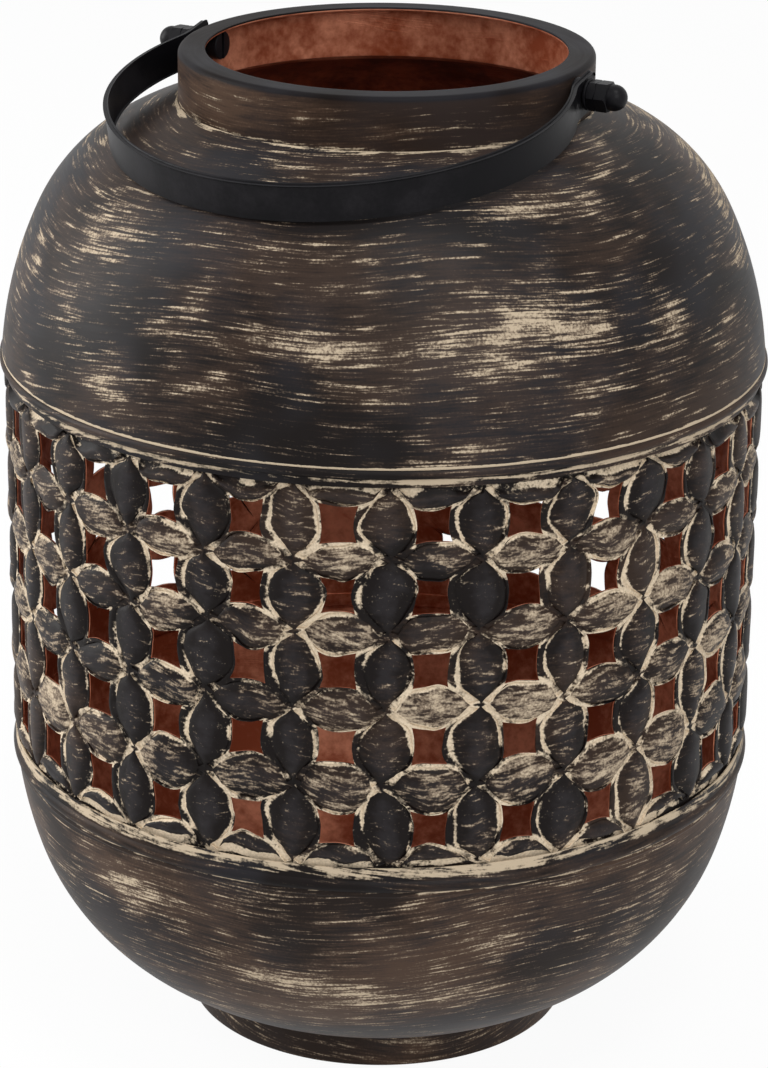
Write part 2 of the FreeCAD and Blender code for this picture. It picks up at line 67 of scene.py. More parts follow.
def makeCamera(c):
    data = bpy.data.cameras.new("photoCamera")
    data.sensor_fit = "VERTICAL"
    data.sensor_height = c["sensor"]
    data.lens = c["focalPixels"] / c["imageHeight"] * c["sensor"]
    data.shift_x = (c["imageWidth"] / 2 - c["centreX"]) / c["imageHeight"]
    data.shift_y = (c["centreY"] - c["imageHeight"] / 2) / c["imageHeight"]
    data.clip_start = 0.05
    camera = bpy.data.objects.new("photoCamera", data)
    tilt = Matrix.Rotation(radians(90 - c["pitch"]), 4, "X")
    turn = Matrix.Rotation(radians(c["roll"]), 4, "Z")
    camera.matrix_world = Matrix.Translation(c["place"]) @ tilt @ turn
    bpy.context.collection.objects.link(camera)
    bpy.context.scene.camera = camera


makeCamera(photoCamera)
print("camera set")


# Node graphs: a wire wraps a socket so that sums on it read as sums

class Wire:
    def __init__(self, graph, socket):
        self.graph = graph
        self.socket = socket

    def out(self, name):
        return Wire(self.graph, self.socket.node.outputs[name])


def addOperator(name, operation):
    setattr(Wire, "__%s__" % name, lambda self, other: self.graph.maths(operation, self, other))
    setattr(Wire, "__r%s__" % name, lambda self, other: self.graph.maths(operation, other, self))


for name, operation in (("add", "ADD"), ("sub", "SUBTRACT"), ("mul", "MULTIPLY"), ("truediv", "DIVIDE")):
    addOperator(name, operation)


class Graph:
    def __init__(self, tree):
        self.tree = tree

    def node(self, kind, inputs=None, out=0, **settings):
        made = self.tree.nodes.new(kind)
        for key, value in settings.items():
            setattr(made, key, value)
        for key, value in (inputs or {}).items():
            if isinstance(value, Wire):
                self.tree.links.new(value.socket, made.inputs[key])
            else:
                made.inputs[key].default_value = value
        return Wire(self, made.outputs[out]) if made.outputs else made

    def maths(self, operation, *values):
        return self.node("ShaderNodeMath", dict(enumerate(values)), operation=operation)

    def attribute(self, name):
        return self.node("ShaderNodeAttribute", out="Fac", attribute_name=name)

    def noise(self, vector, scale=1, detail=2, roughness=0.5):
        return self.node("ShaderNodeTexNoise", {
            "Vector": vector, "Scale": scale, "Detail": detail, "Roughness": roughness})

    def step(self, value, low, high):
        return self.node("ShaderNodeMapRange", {
            "Value": value, "From Min": low, "From Max": high}, interpolation_type="SMOOTHSTEP")

    def mix(self, factor, first, second):
        return self.node("ShaderNodeMix", {0: factor, 6: first, 7: second}, out=2, data_type="RGBA")

    def blend(self, factor, first, second):
        return self.node("ShaderNodeMix", {0: factor, 2: first, 3: second}, data_type="FLOAT")

    def vector(self, x, y, z):
        return self.node("ShaderNodeCombineXYZ", {0: x, 1: y, 2: z})

    def scaled(self, vector, amount):
        return self.node("ShaderNodeVectorMath", {0: vector, "Scale": amount}, operation="SCALE")

    def larger(self, first, *others):
        for other in others:
            first = self.maths("MAXIMUM", first, other)
        return first

    # 1 on the rays that show the background, 0 on those that light the lantern
    def shown(self):
        ray = self.node("ShaderNodeLightPath", out="Is Camera Ray")
        return self.larger(ray, ray.out("Is Glossy Ray"), ray.out("Is Transmission Ray"))


def newFinish(name):
    material = bpy.data.materials.new(name)
    material.use_nodes = True
    material.node_tree.nodes.clear()
    return material, Graph(material.node_tree)


def showSurface(graph, shader):
    graph.node("ShaderNodeOutputMaterial", {"Surface": shader})


# Paint with a bump, which is given as its height, its strength and its unit in metres
def showPaint(g, colour, roughness, metallic, specular, height, bump):
    strength, unit = bump
    normal = g.node("ShaderNodeBump", {"Strength": strength, "Distance": unit, "Height": height})
    showSurface(g, g.node("ShaderNodeBsdfPrincipled", {
        "Base Color": colour, "Roughness": roughness, "Metallic": metallic,
        "Specular IOR Level": specular, "Normal": normal}))


# Where a finish reads its patterns: x and y in metres, and the length along the
# spun outline, so that brush strokes run round the lantern at every slope. A slow
# wobble tilts them a few degrees here and there, as a hand does.
def brushCoordinates(graph):
    place = graph.node("ShaderNodeTexCoord", out="Object")
    apart = graph.node("ShaderNodeSeparateXYZ", {0: place})
    along = graph.attribute("along") + tinPaint["wobble"] * graph.noise(place, 7, 1)
    return place, apart, along


def stretched(graph, apart, along, sideways, lengthways):
    return graph.vector(apart * sideways, apart.out("Y") * sideways, along * lengthways)


# Finishes

tinPaint = {
    "black": (0.0075, 0.0054, 0.0050, 1),
    "blueBlack": (0.0155, 0.0145, 0.0168, 1),
    "brown": (0.084, 0.050, 0.033, 1),
    "tan": (0.178, 0.132, 0.094, 1),
    "cream": (0.52, 0.42, 0.30, 1),
    # a slate grey, painted highlight on the petals' raised crests
    "crestHighlight": (0.034, 0.031, 0.034, 1),
    "thickCream": (0.71, 0.585, 0.43, 1),
    "copper": (0.72, 0.300, 0.180, 1),
    "copperDark": (0.27, 0.062, 0.026, 1),
    # the darkest copper is painted shade under the dome
    "copperPaintedShade": (0.07, 0.011, 0.003, 1),
    "wobble": 0.042,
    "roughBlack": 0.40,
    "roughCream": 0.72,
    "roughCopper": 0.48,
    "copperMetal": 0.35,
    "specular": 0.10,
    "bump": (0.35, 0.00025),
    "copperBump": (0.25, 0.0001),
}

# How often each kind of mark repeats in a metre, round the lantern and along its outline
bristleSize = {"streaks": (48, 820), "hairs": (95, 1550), "clumps": (120, 330), "patches": (15, 28)}
dabSize = {"streaks": (110, 480), "hairs": (280, 1300), "clumps": (200, 330), "patches": (15, 28)}

# Levels of the bristle marks at which each coat begins and is full
coats = {
    "thin": (0.43, 0.66), "dusted": (0.565, 0.70), "brushed": (0.63, 0.745), "dabbed": (0.59, 0.84),
    "pooled": (0.86, 1.04), "dustAmount": 0.74, "bristleStart": 0.335,
}


# Mottled copper paint. Under the dome it takes darker colours as painted shade, and on the neck it is
# lightened as painted light.
def copperColour(graph, place, c, thin=False, copperPaintedLight=0):
    blotches = graph.noise(place, 38, 3, 0.6)
    specks = graph.noise(place, 420, 2, 0.6)
    # painted light: a larger amount turns more of the copper to the light colour, as on the neck's inside
    tone = graph.step(blotches + 0.35 * specks, 0.52 - copperPaintedLight, 0.92 - 0.5 * copperPaintedLight)
    # painted shade: the copper inside the dome takes the darker colours
    if thin:
        return graph.mix(tone, c["copperPaintedShade"], c["copperDark"])
    return graph.mix(tone, c["copperDark"], c["copper"])


# Near-black tin, dry-brushed with cream. The attribute brush says where the brush
# was pressed, and the attribute cream where the paint gathered. Veil is the share of
# thin brown paint between the strokes, haze its least share, and flecks adds strokes
# everywhere.
def brushedTin(name, veil, flecks, gloss=1.0, paintedShadeCopper=False, copperPaintedLight=0, haze=0, onBand=False):
    c = tinPaint
    size = dabSize if onBand else bristleSize
    material, g = newFinish(name)
    place, apart, along = brushCoordinates(g)

    def marks(kind, detail, roughness):
        return g.noise(stretched(g, apart, along, *size[kind]), 1, detail, roughness)

    streaks = marks("streaks", 3, 0.65)
    hairs = marks("hairs", 2, 0.5)
    clumps = marks("clumps", 3, 0.6)
    patches = marks("patches", 3, 0.55)
    grain = g.noise(place, 1400, 2, 0.6)
    start = flecks - coats["bristleStart"]
    bristles = 0.66 * streaks + 0.52 * hairs + 0.25 * clumps + 0.24 * grain + start
    pressed = g.attribute("brush")
    bare = 0
    if onBand:
        petals = petalMarks(g, place)
        pressed = petals["pressed"]
        bare = petals["bare"]
    spread = bristles + 0.18 * pressed + 0.15 * (patches - 0.5) - bare
    dusted = g.step(spread, *coats["dusted"]) * coats["dustAmount"]
    brushed = g.step(spread, *coats["dabbed" if onBand else "brushed"])
    gathered = g.attribute("cream")
    pooled = gathered * 0.55 + bristles + 0.5 * (clumps - 0.5) + 0.5 * (patches - 0.5)
    pooled = g.step(pooled, *coats["pooled"])
    cloud = 0.25 + 0.5 * bristles + 0.18 * pressed + 0.95 * (patches - 0.5) - bare
    thin = g.step(cloud, *coats["thin"]) * (veil - haze)
    thin = thin + g.step(pressed, -0.8, -0.1) * haze
    if onBand:
        pooled = g.larger(pooled, *petalCream(g, place, petals, grain, bristles))
        # painted highlight: the raised crests of the petals are lighter, broken up at random
        worn = g.step(petals["rise"] + 1.5 * (clumps - 0.5), 0.5, 1.5) * 0.5
        base = g.mix(worn, c["black"], c["crestHighlight"])
        thick = g.mix(g.step(grain + 0.5 * petals["broken"], 0.55, 0.95), c["cream"], c["thickCream"])
    else:
        tint = g.step(g.noise(place, 26, 2, 0.5), 0.40, 0.62)
        base = g.mix(tint, c["black"], c["blueBlack"])
        thick = c["cream"]
    dark = g.mix(dusted, g.mix(thin, base, c["brown"]), c["tan"])
    pale = g.mix(g.step(grain + 0.9 * clumps, 0.72, 1.08), c["tan"], c["cream"])
    outside = g.mix(pooled, g.mix(brushed, dark, pale), thick)
    cream = g.larger(brushed, pooled)
    inner = g.step(g.attribute("inner"), 0.45, 0.55)
    rough = g.blend(cream, c["roughBlack"] + 0.16 * streaks, c["roughCream"])
    height = 0.6 * cream + 0.35 * streaks + 0.12 * grain
    # the copper inside, with painted shade under the dome and painted light on the neck
    colour = g.mix(inner, outside, copperColour(g, place, c, paintedShadeCopper, copperPaintedLight))
    roughness = g.blend(inner, rough, c["roughCopper"])
    showPaint(g, colour, roughness, inner * c["copperMetal"], c["specular"] * gloss, height, c["bump"])
    return material


# The level petals take more dabs of the brush than the upright ones
def petalMarks(g, place):
    upright = g.attribute("upright")
    rise = g.attribute("rise")
    wide = g.noise(place, 42, 2, 0.5)
    return {
        "pressed": 2.2 * (wide - 0.5) + 0.22 * rise + 0.44 * (1 - upright),
        "bare": 0.052 * upright, "rise": rise, "wide": wide, "broken": g.noise(place, 170, 3, 0.6)}


# Chalky cream in the pressed line round each petal, and in the corners between petals
def petalCream(g, place, petals, grain, bristles):
    broken = petals["broken"] - 0.5
    wide = petals["wide"] - 0.5
    arm = g.attribute("arm")
    swell = g.noise(place, 95, 2, 0.5)
    away = g.maths("ABSOLUTE", g.attribute("edge") - 0.08 + 1.2 * broken)
    line = g.step(away - 2.2 * (swell - 0.5), 1.15, 0.0)
    amount = g.step(g.attribute("fill") * 0.42 + 1.5 * broken + 2.2 * wide + 0.12 * arm, -0.06, 0.46)
    chalk = g.step(line * amount + 0.9 * (grain - 0.5) + 0.8 * (bristles - 0.5), 0.16, 0.72)
    corner = g.step(arm * 0.9 + 1.3 * broken + 1.6 * wide + 0.3 * (grain - 0.5), 0.66, 1.08)
    return chalk, corner


steelPaint = {
    "black": (0.0042, 0.0040, 0.0050, 1),
    "worn": (0.013, 0.012, 0.014, 1),
    "rough": 0.32,
    "specular": 0.10,
    "bump": (0.2, 0.0001),
}


def satinBlack(name, c):
    material, g = newFinish(name)
    place = g.node("ShaderNodeTexCoord", out="Object")
    clouds = g.noise(place, 60, 3, 0.6)
    dust = g.noise(place, 900, 2, 0.6)
    worn = g.step(clouds + 0.3 * dust, 0.55, 0.95)
    colour = g.mix(worn, c["black"], c["worn"])
    showPaint(g, colour, c["rough"] + 0.16 * clouds, 0, c["specular"], dust + 0.5 * clouds, c["bump"])
    return material


def copperPaint(name):
    c = tinPaint
    material, g = newFinish(name)
    place = g.node("ShaderNodeTexCoord", out="Object")
    specks = g.noise(place, 700, 2, 0.6)
    colour = copperColour(g, place, c)
    roughness = c["roughCopper"] - 0.1 + 0.2 * specks
    showPaint(g, colour, roughness, c["copperMetal"], c["specular"], specks, c["copperBump"])
    return material


finishes = {
    "bowl": brushedTin("bowlTin", 0.78, 0.012, haze=0.1),
    # the dome's copper inside is darkened as painted shade
    "dome": brushedTin("domeTin", 0.36, 0.0, gloss=1.1, paintedShadeCopper=True),
    # the neck's copper inside is lightened as painted light
    "neck": brushedTin("neckTin", 0.95, -0.04, gloss=0.4, copperPaintedLight=0.03, haze=0.27),
    "ring": brushedTin("ringTin", 0.45, -0.01),
    "foot": brushedTin("footTin", 1.0, 0.035, haze=0.2),
    "band": brushedTin("bandTin", 0.30, 0.0, onBand=True),
    "copper": copperPaint("copperPaint"),
    "steel": satinBlack("satinBlack", steelPaint),
}
print("finishes made:", len(finishes))


# Meshes

def keepPiece(name, mesh, finish, smoothAngle=32):
    mesh.name = name
    piece = linked(name, mesh)
    if finish is not None:
        mesh.materials.clear()
        mesh.materials.append(finish)
    mesh.shade_smooth()
    mesh.set_sharp_from_angle(angle=radians(smoothAngle))
    return piece


# Sets a piece on its body and hides the nodes that it stands for. The slot is not used.
def register(piece, *nodes, body="lantern", slot="brushed_black_tin"):
    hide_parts(*nodes)
    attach(piece, body)


def newMesh(name, verts, faces, table={}):
    mesh = bpy.data.meshes.new(name)
    mesh.from_pydata(verts, [], faces)
    for attribute, values in table.items():
        mesh.attributes.new(attribute, "FLOAT", "POINT").data.foreach_set("value", values)
    return mesh


# A plain object from a mesh that build makes in a bmesh
def builtObject(name, build):
    mesh = bpy.data.meshes.new(name)
    work = bmesh.new()
    build(work)
    work.to_mesh(mesh)
    work.free()
    return linked(name, mesh)


def linked(name, mesh):
    piece = bpy.data.objects.new(name, mesh)
    bpy.context.collection.objects.link(piece)
    return piece


nearAxis = 0.001  # a smaller radius counts as the axis


# Rounds the real corners of an outline and leaves the finely divided arcs alone.
# A point is (radius, height, inner, cream).
def softCorners(points, radius, steps=3):
    out = []
    for before, here, after in zip(points[-1:] + points[:-1], points, points[1:] + points[:1]):
        a = Vector((before[0] - here[0], before[1] - here[1]))
        b = Vector((after[0] - here[0], after[1] - here[1]))
        if a.length < 1e-6 or b.length < 1e-6:
            continue
        turn = pi - a.angle(b)
        if turn < radians(20) or here[0] < nearAxis:
            out.append(here)
            continue
        reach = min(radius * tan(turn / 2), 0.45 * a.length, 0.45 * b.length)
        first = Vector(here[:2]) + a.normalized() * reach
        last = Vector(here[:2]) + b.normalized() * reach
        for k in range(steps + 1):
            t = k / steps
            p = (1 - t) ** 2 * first + 2 * t * (1 - t) * Vector(here[:2]) + t * t * last
            out.append((p.x, p.y) + here[2:])
    return out


# Adds points on long straight runs so that the paint attributes stay local
def dividedRuns(points, longest):
    out = []
    for here, there in zip(points, points[1:] + points[:1]):
        out.append(here)
        run = hypot(there[0] - here[0], there[1] - here[1])
        parts = max(1, ceil(run / longest))
        for k in range(1, parts):
            t = k / parts
            out.append(tuple(h + (w - h) * t for h, w in zip(here, there)))
    return out


# Where the brush was pressed: turn from the front towards +X in degrees, level,
# half width round the lantern, half height and strength. The front has the strokes
# that show there, and the seed spreads others over the rest.
brushWork = {
    "dome": [
        (-53, 262, 13, 9, 0.95), (-72, 247, 8, 9, 0.5), (-56, 240, 10, 7, 0.55), (-30, 249, 5, 3.5, 0.8),
        (-34, 243, 7, 3, 0.7), (-44, 226, 9, 6, 0.8), (-40, 218, 7, 4, 0.6), (-14, 243, 17, 3.5, 0.95),
        (-4, 241, 18, 3, 0.85), (-25, 230, 9, 3.5, 0.65), (-3, 231, 16, 2.5, 0.7), (-21, 265, 9, 2.5, 0.5),
        (27, 274, 16, 2.8, 1.0), (41, 271, 6, 2.5, 0.7), (25, 250, 20, 5, 0.9), (29, 243, 16, 5, 0.95),
        (15, 244, 18, 3, 0.8), (48, 241, 8, 7, 1.0), (63, 233, 9, 7, 0.6), (17, 237, 17, 3, 0.8),
        (13, 216, 8, 2.2, 0.95), (31, 228, 11, 3, 0.75), (50, 278, 6, 1.5, 0.6), (-21, 282, 16, 2.0, 0.42),
        (6, 283, 22, 1.5, 0.25), (59, 282, 6, 2.5, 0.75), (-62, 214, 7, 3, 0.6)],
    "bowl": [
        (-40, 70, 12, 8, 0.9), (-19, 79, 12, 3.5, 0.6), (-16, 51, 18, 4, 1.0), (-5, 47, 16, 3.5, 0.85),
        (21, 64, 9, 3.5, 0.85), (44, 56, 12, 7, 0.6), (51, 67, 9, 6, 0.55), (2, 74, 30, 9, 0.18),
        (10, 44, 22, 3.5, 0.55), (-58, 62, 9, 6, 0.5)],
    "neck": [
        (0, 300.4, 400, 1.6, -1.6), (0, 291, 60, 5, 0.10), (-23, 293, 2.5, 1.6, 1.0),
        (4, 290, 14, 1.5, 0.42), (22, 291, 12, 2, 0.4), (-40, 297, 6, 1.5, 0.5)],
    "foot": [(13, 6.5, 8, 1.8, 0.85), (-26, 5, 5, 1.8, 0.6)],
    "spare": {"dome": (30, 214, 280), "bowl": (15, 42, 80), "neck": (8, 288, 297), "foot": (5, 3, 8)},
    "seed": 11,
}


def spreadStrokes(w):
    chance = random.Random(w["seed"])
    for name, (count, low, high) in w["spare"].items():
        for _ in range(count):
            turn = chance.uniform(78, 282)
            size = chance.uniform(0.35, 1)
            tall = (2 + 6 * size * chance.random()) * (0.4 if name in ("neck", "foot") else 1)
            level = chance.uniform(low, high)
            w[name].append((turn, level, 6 + 15 * size, tall, chance.uniform(0.45, 1)))


spreadStrokes(brushWork)


strokeReach = 2.2  # past this many half sizes a stroke has faded


def brushAt(strokes, turn, radius, level):
    total = 0
    for middle, height, wide, high, strength in strokes:
        up = (level - height) / high
        if abs(up) < strokeReach:
            sideways = (turn - middle + 180) % 360 - 180
            across = radians(sideways) * radius / wide
            if abs(across) < strokeReach:
                total += strength * exp(-up * up - across * across)
    return min(total, 1.0)


# Turns an outline about the axis. A point may leave out its inner and cream marks, and
# look is the word for the paint and for its strokes.
def spin(name, outline, look=None, turns=240, longest=6, corner=0.3):
    strokes = brushWork.get(look, ())
    outline = [(tuple(p) + (0, 0))[:4] for p in outline]
    points = dividedRuns(softCorners(outline, corner), longest)
    closed = all(p[0] > nearAxis for p in points)
    verts = []
    faces = []
    tables = {"along": [], "inner": [], "cream": [], "brush": []}
    rows = []
    length = 0
    for i, (radius, height, inner, cream) in enumerate(points):
        if i:
            length += hypot(radius - points[i - 1][0], height - points[i - 1][1])
        ring = []
        for k in range(turns if radius > nearAxis else 1):
            angle = tau * k / turns
            ring.append(len(verts))
            verts.append((radius * mm * cos(angle), radius * mm * sin(angle), height * mm))
            tables["along"].append(length * mm)
            tables["inner"].append(inner)
            tables["cream"].append(cream)
            tables["brush"].append(brushAt(strokes, 360 * k / turns + 90, radius, height))
        rows.append(ring)
    pairs = list(zip(rows, rows[1:] + rows[:1]))
    for low, high in pairs if closed else pairs[:-1]:
        for k in range(turns):
            n = (k + 1) % turns
            a, b = len(low), len(high)  # a ring on the axis is one point, and its faces are triangles
            face = dict.fromkeys((low[k % a], low[n % a], high[n % b], high[k % b]))
            if len(face) > 2:
                faces.append(tuple(face))
    mesh = newMesh(name, verts, faces, tables)
    pointOutwards(mesh)
    return keepPiece(name, mesh, finishes.get(look))


def pointOutwards(mesh):
    work = bmesh.new()
    work.from_mesh(mesh)
    bmesh.ops.remove_doubles(work, verts=work.verts, dist=2e-7)
    bmesh.ops.recalc_face_normals(work, faces=work.faces)
    if work.calc_volume(signed=True) < 0:
        bmesh.ops.reverse_faces(work, faces=work.faces)
    work.to_mesh(mesh)
    work.free()


def arc(centre, radius, first, last, steps, inner=0):
    points = []
    for k in range(steps + 1):
        a = radians(first + (last - first) * k / steps)
        points.append((centre[0] + radius * cos(a), centre[1] + radius * sin(a), inner, 0))
    return points


# Spun shells: a side arc, a tighter arc and a straight slope

sheet = {"wall": 0.8, "gap": 0.05}

bowlShape = {
    "edgeRadius": 111.6, "edgeAngle": 5.85, "sideRadius": 132.5, "breakAngle": 17.55,
    "tightRadius": 72.5, "slopeAngle": 64.98, "edgeLevel": 84.9,
    "upwards": -1, "edgeCream": 0.75, "wornEdge": ((0.05, 0.8, 0.35), (0.12, 1.4, 0)),
    "floorLevel": 10.4, "floorRadius": 58.6, "boreRadius": 2.05,
}

domeShape = {
    "edgeRadius": 112.8, "edgeAngle": 4.19, "sideRadius": 116.34, "breakAngle": 25.58,
    "tightRadius": 54.39, "slopeAngle": 67.17, "edgeLevel": 211.0,
    "upwards": 1, "edgeCream": 1.4, "wornEdge": ((-0.03, 0.5, 1.3), (-0.09, 1.2, 0)),
    "mouthRadius": 60.25,
    "mouthCream": ((6, 0), (2.6, 0.2), (1.2, 0.64), (0, 0.78)),  # paint gathered at the neck
}


# Centre of a shell's side arc as (radius, rise above the edge)
def sideCentre(s):
    edge = radians(s["edgeAngle"])
    return s["edgeRadius"] - s["sideRadius"] * cos(edge), -s["sideRadius"] * sin(edge)


# One face of a shell from its edge inwards. The outer edge carries a thin worn line.
def shellFace(s, depth):
    side = s["sideRadius"]
    tight = s["tightRadius"]
    sideX, sideH = sideCentre(s)
    turn = radians(s["breakAngle"])
    tightX = sideX + (side - tight) * cos(turn)
    tightH = sideH + (side - tight) * sin(turn)
    start = degrees(asin(-sideH / (side - depth)))
    inner = 1 if depth else 0
    face = arc((sideX, sideH), side - depth, start, s["breakAngle"], 14, inner)
    face += arc((tightX, tightH), tight - depth, s["breakAngle"], s["slopeAngle"], 30, inner)[1:]
    if not depth:
        r, h = face[0][:2]
        worn = [(r + away, rise, 0, cream) for away, rise, cream in s["wornEdge"]]
        face[:1] = [(r, h, 0, s["edgeCream"])] + worn
    return [(r, s["edgeLevel"] + s["upwards"] * h, i, c) for r, h, i, c in face]


def makeBowl(s):
    inner = shellFace(s, sheet["wall"])
    insideFloor = s["floorLevel"] + sheet["wall"]
    reach = inner[-1][0] - (inner[-1][1] - insideFloor) * tan(radians(s["slopeAngle"]))
    outline = shellFace(s, 0) + [
        (s["floorRadius"], s["floorLevel"], 0, 0.5), (s["boreRadius"], s["floorLevel"]),
        (s["boreRadius"], insideFloor, 1, 0), (reach, insideFloor, 1, 0)] + inner[::-1]
    register(spin("bowlShell", outline, "bowl", longest=2.5), "lower_bowl")


def makeDome(s):
    outer = shellFace(s, 0)
    inner = shellFace(s, sheet["wall"])
    mouth = s["mouthRadius"]

    def slopeLevel(face, radius):
        return face[-1][1] + (face[-1][0] - radius) / tan(radians(s["slopeAngle"]))

    outline = outer + [(mouth + away, slopeLevel(outer, mouth + away), 0, c) for away, c in s["mouthCream"]]
    outline += [(mouth, slopeLevel(inner, mouth), 1, 0)] + inner[::-1]
    register(spin("domeShell", outline, "dome", longest=2.5), "upper_dome")


makeBowl(bowlShape)
makeDome(domeShape)
print("bowl and dome spun")


# Foot ring, seam rings and neck

footShape = {"radius": 58.6, "height": 10.4, "wall": 1.2, "flange": 5.0, "corner": 0.9}


def makeFoot(s):
    r = s["radius"]
    inside = r - s["wall"]
    flange = r - s["flange"]
    high = s["height"]
    wall = s["wall"]
    outline = [
        (r, 0, 0, 0.3), (r, 1.6, 0, 0), (r, high - 1.6, 0, 0), (r, high, 0, 0.5),
        (flange, high), (flange, high - wall), (inside, high - wall), (inside, wall),
        (flange, wall), (flange, 0)]
    piece = spin("footRing", outline, "foot", longest=2, corner=s["corner"])
    register(piece, "foot_ring")


makeFoot(footShape)

seamShape = {
    "bandRadius": 111.2, "grooveDepth": 0.7, "bulge": 0.75, "tongue": 2.5, "tongueWall": 0.7,
    "bandStart": 92.4, "bandEnd": 205.7, "lowerBead": 3.5, "upperGroove": 2.8, "upperBead": 2.5,
    "bandBottom": 87.0, "corner": 0.3,
}


def beadPoints(radius, bottom, height, bulge):
    reach = (height * height / 4 + bulge * bulge) / (2 * bulge)
    half = degrees(asin(height / 2 / reach))
    return arc((radius + bulge - reach, bottom + height / 2), reach, -half, half, 8)


def makeSeams(s):
    inside = s["bandRadius"] + sheet["gap"]
    groove = s["bandRadius"] + s["grooveDepth"]
    bowlEdge = bowlShape["edgeLevel"]
    bowlInside = shellRadius(bowlShape, s["tongue"]) - sheet["gap"]
    tongueInside = bowlInside - s["tongueWall"]
    low = bowlEdge - s["tongue"]
    beadTop = bowlEdge + s["lowerBead"]
    start = s["bandStart"]
    outline = [(tongueInside, low, 1, 0), (bowlInside, low, 1, 0), (bowlInside, bowlEdge, 1, 0)]
    outline += beadPoints(groove, bowlEdge, s["lowerBead"], s["bulge"])
    outline += [(groove, beadTop + 0.5, 0, 0.55), (groove, beadTop + 1.3, 0, 0.85),
                (groove, start - 0.5, 0, 0.9), (groove, start, 0, 0.9), (inside, start, 0, 0.9),
                (inside, s["bandBottom"], 1, 0), (tongueInside, s["bandBottom"], 1, 0)]
    lower = spin("lowerSeamRing", outline, "ring", longest=2, corner=s["corner"])
    register(lower, "lower_seam_ring")
    end = s["bandEnd"]
    domeEdge = domeShape["edgeLevel"]
    domeInside = shellRadius(domeShape, s["tongue"]) - sheet["gap"]
    beadBottom = end + s["upperGroove"]
    outline = [(inside, end, 0, 0.5), (groove, end, 0, 0.5), (groove, end + 0.9, 0, 0.55),
               (groove, end + 1.5, 0, 0.95), (groove, beadBottom - 0.5, 0, 0.85),
               (groove, beadBottom, 0, 0.2)]
    outline += beadPoints(domeShape["edgeRadius"], beadBottom, s["upperBead"], s["bulge"])
    outline += [(domeInside, domeEdge, 1, 0), (domeInside, domeEdge + s["tongue"], 1, 0),
                (inside, domeEdge + s["tongue"], 1, 0)]
    upper = spin("upperSeamRing", outline, "ring", longest=2, corner=s["corner"])
    register(upper, "upper_seam_ring")


# Inner radius of a shell a little above its edge
def shellRadius(s, rise):
    centreX, centreH = sideCentre(s)
    reach = s["sideRadius"] - sheet["wall"]
    return centreX + sqrt(reach * reach - (rise - centreH) ** 2)


makeSeams(seamShape)

neckShape = {
    "radius": 60.2, "wall": 1.0, "crease": 285.09, "top": 299.99, "lipWidth": 7.9, "lipRound": 1.6,
    "skirt": 4.0, "slope": 67.17, "holeRadius": 2.7, "corner": 0.35,
}

pivot = {"level": 294.09, "turn": 27.8, "boltRadius": 2.5, "spare": 6}  # a cutter is longer by the spare


def pivotAxis():
    turn = radians(pivot["turn"])
    return Vector((cos(turn), -sin(turn), 0))


upwards = Vector((0, 0, 1))


# A rod along an axis, for booleans
def plainRod(radius, start, end, axis=upwards, origin=(0, 0, 0)):
    turned = upwards.rotation_difference(axis).to_matrix().to_4x4()
    middle = Vector(origin) + axis * ((start + end) / 2 * mm)
    return builtObject("plainRod", lambda work: bmesh.ops.create_cone(
        work, cap_ends=True, segments=48, radius1=radius * mm, radius2=radius * mm,
        depth=(end - start) * mm, matrix=Matrix.Translation(middle) @ turned))


# The mesh of an object with its modifiers applied
def bakedMesh(piece):
    evaluated = piece.evaluated_get(bpy.context.evaluated_depsgraph_get())
    mesh = bpy.data.meshes.new_from_object(evaluated)
    piece.modifiers.clear()
    return mesh


# Gives a piece the mesh that boolean steps and an optional bevel make of it
def rework(piece, steps, bevel=0):
    for operation, other in steps:
        change = piece.modifiers.new("cut", "BOOLEAN")
        change.operation = operation
        change.object = other
        change.solver = "EXACT"
    if bevel:
        change = piece.modifiers.new("edges", "BEVEL")
        change.width = bevel * mm
        change.segments = 2
        change.limit_method = "ANGLE"
        change.angle_limit = radians(25)
        change.harden_normals = False
    old = piece.data
    name = old.name
    piece.data = bakedMesh(piece)
    bpy.data.meshes.remove(old)
    piece.data.name = name
    for operation, other in steps:
        bpy.data.objects.remove(other)


def makeNeck(s):
    r = s["radius"]
    inside = r - s["wall"]
    top = s["top"]
    edge = r - s["lipWidth"]
    roundX = r - s["lipRound"]
    roundZ = top - s["lipRound"]
    slope = radians(s["slope"])
    skirtLevel = s["crease"] - (sheet["wall"] + sheet["gap"]) / sin(slope)
    skirtEdge = r + s["skirt"]
    drop = s["wall"] / sin(slope)
    fall = s["skirt"] / tan(slope)
    outline = [
        (edge, top, 0, 0.12), (edge, top - s["wall"], 1, 0), (roundX, top - s["wall"], 1, 0)]
    outline += arc((roundX, roundZ), s["lipRound"] - s["wall"], 90, 0, 6, 1)
    outline += [
        (inside, skirtLevel - drop + s["wall"] / tan(slope), 1, 0),
        (skirtEdge, skirtLevel - drop - fall, 1, 0), (skirtEdge, skirtLevel - fall, 0, 0),
        (r, skirtLevel, 0, 0.78), (r, s["crease"] + 0.4, 0, 0.7), (r, s["crease"] + 1.3, 0, 0.1),
        (r, roundZ - 1.2, 0, 0)]
    outline += arc((roundX, roundZ), s["lipRound"], 0, 90, 8)
    outline += [(edge + 0.9, top, 0, 0)]
    piece = spin("neckCollar", outline, "neck", longest=1.5, corner=s["corner"])
    ends = r + pivot["spare"]
    rod = plainRod(s["holeRadius"], -ends, ends, pivotAxis(), (0, 0, pivot["level"] * mm))
    rework(piece, [("DIFFERENCE", rod)])
    register(piece, "neck_collar")


makeNeck(neckShape)
print("foot, seams and neck made")


# Pierced band: one pressed column, repeated and rolled up by Geometry Nodes

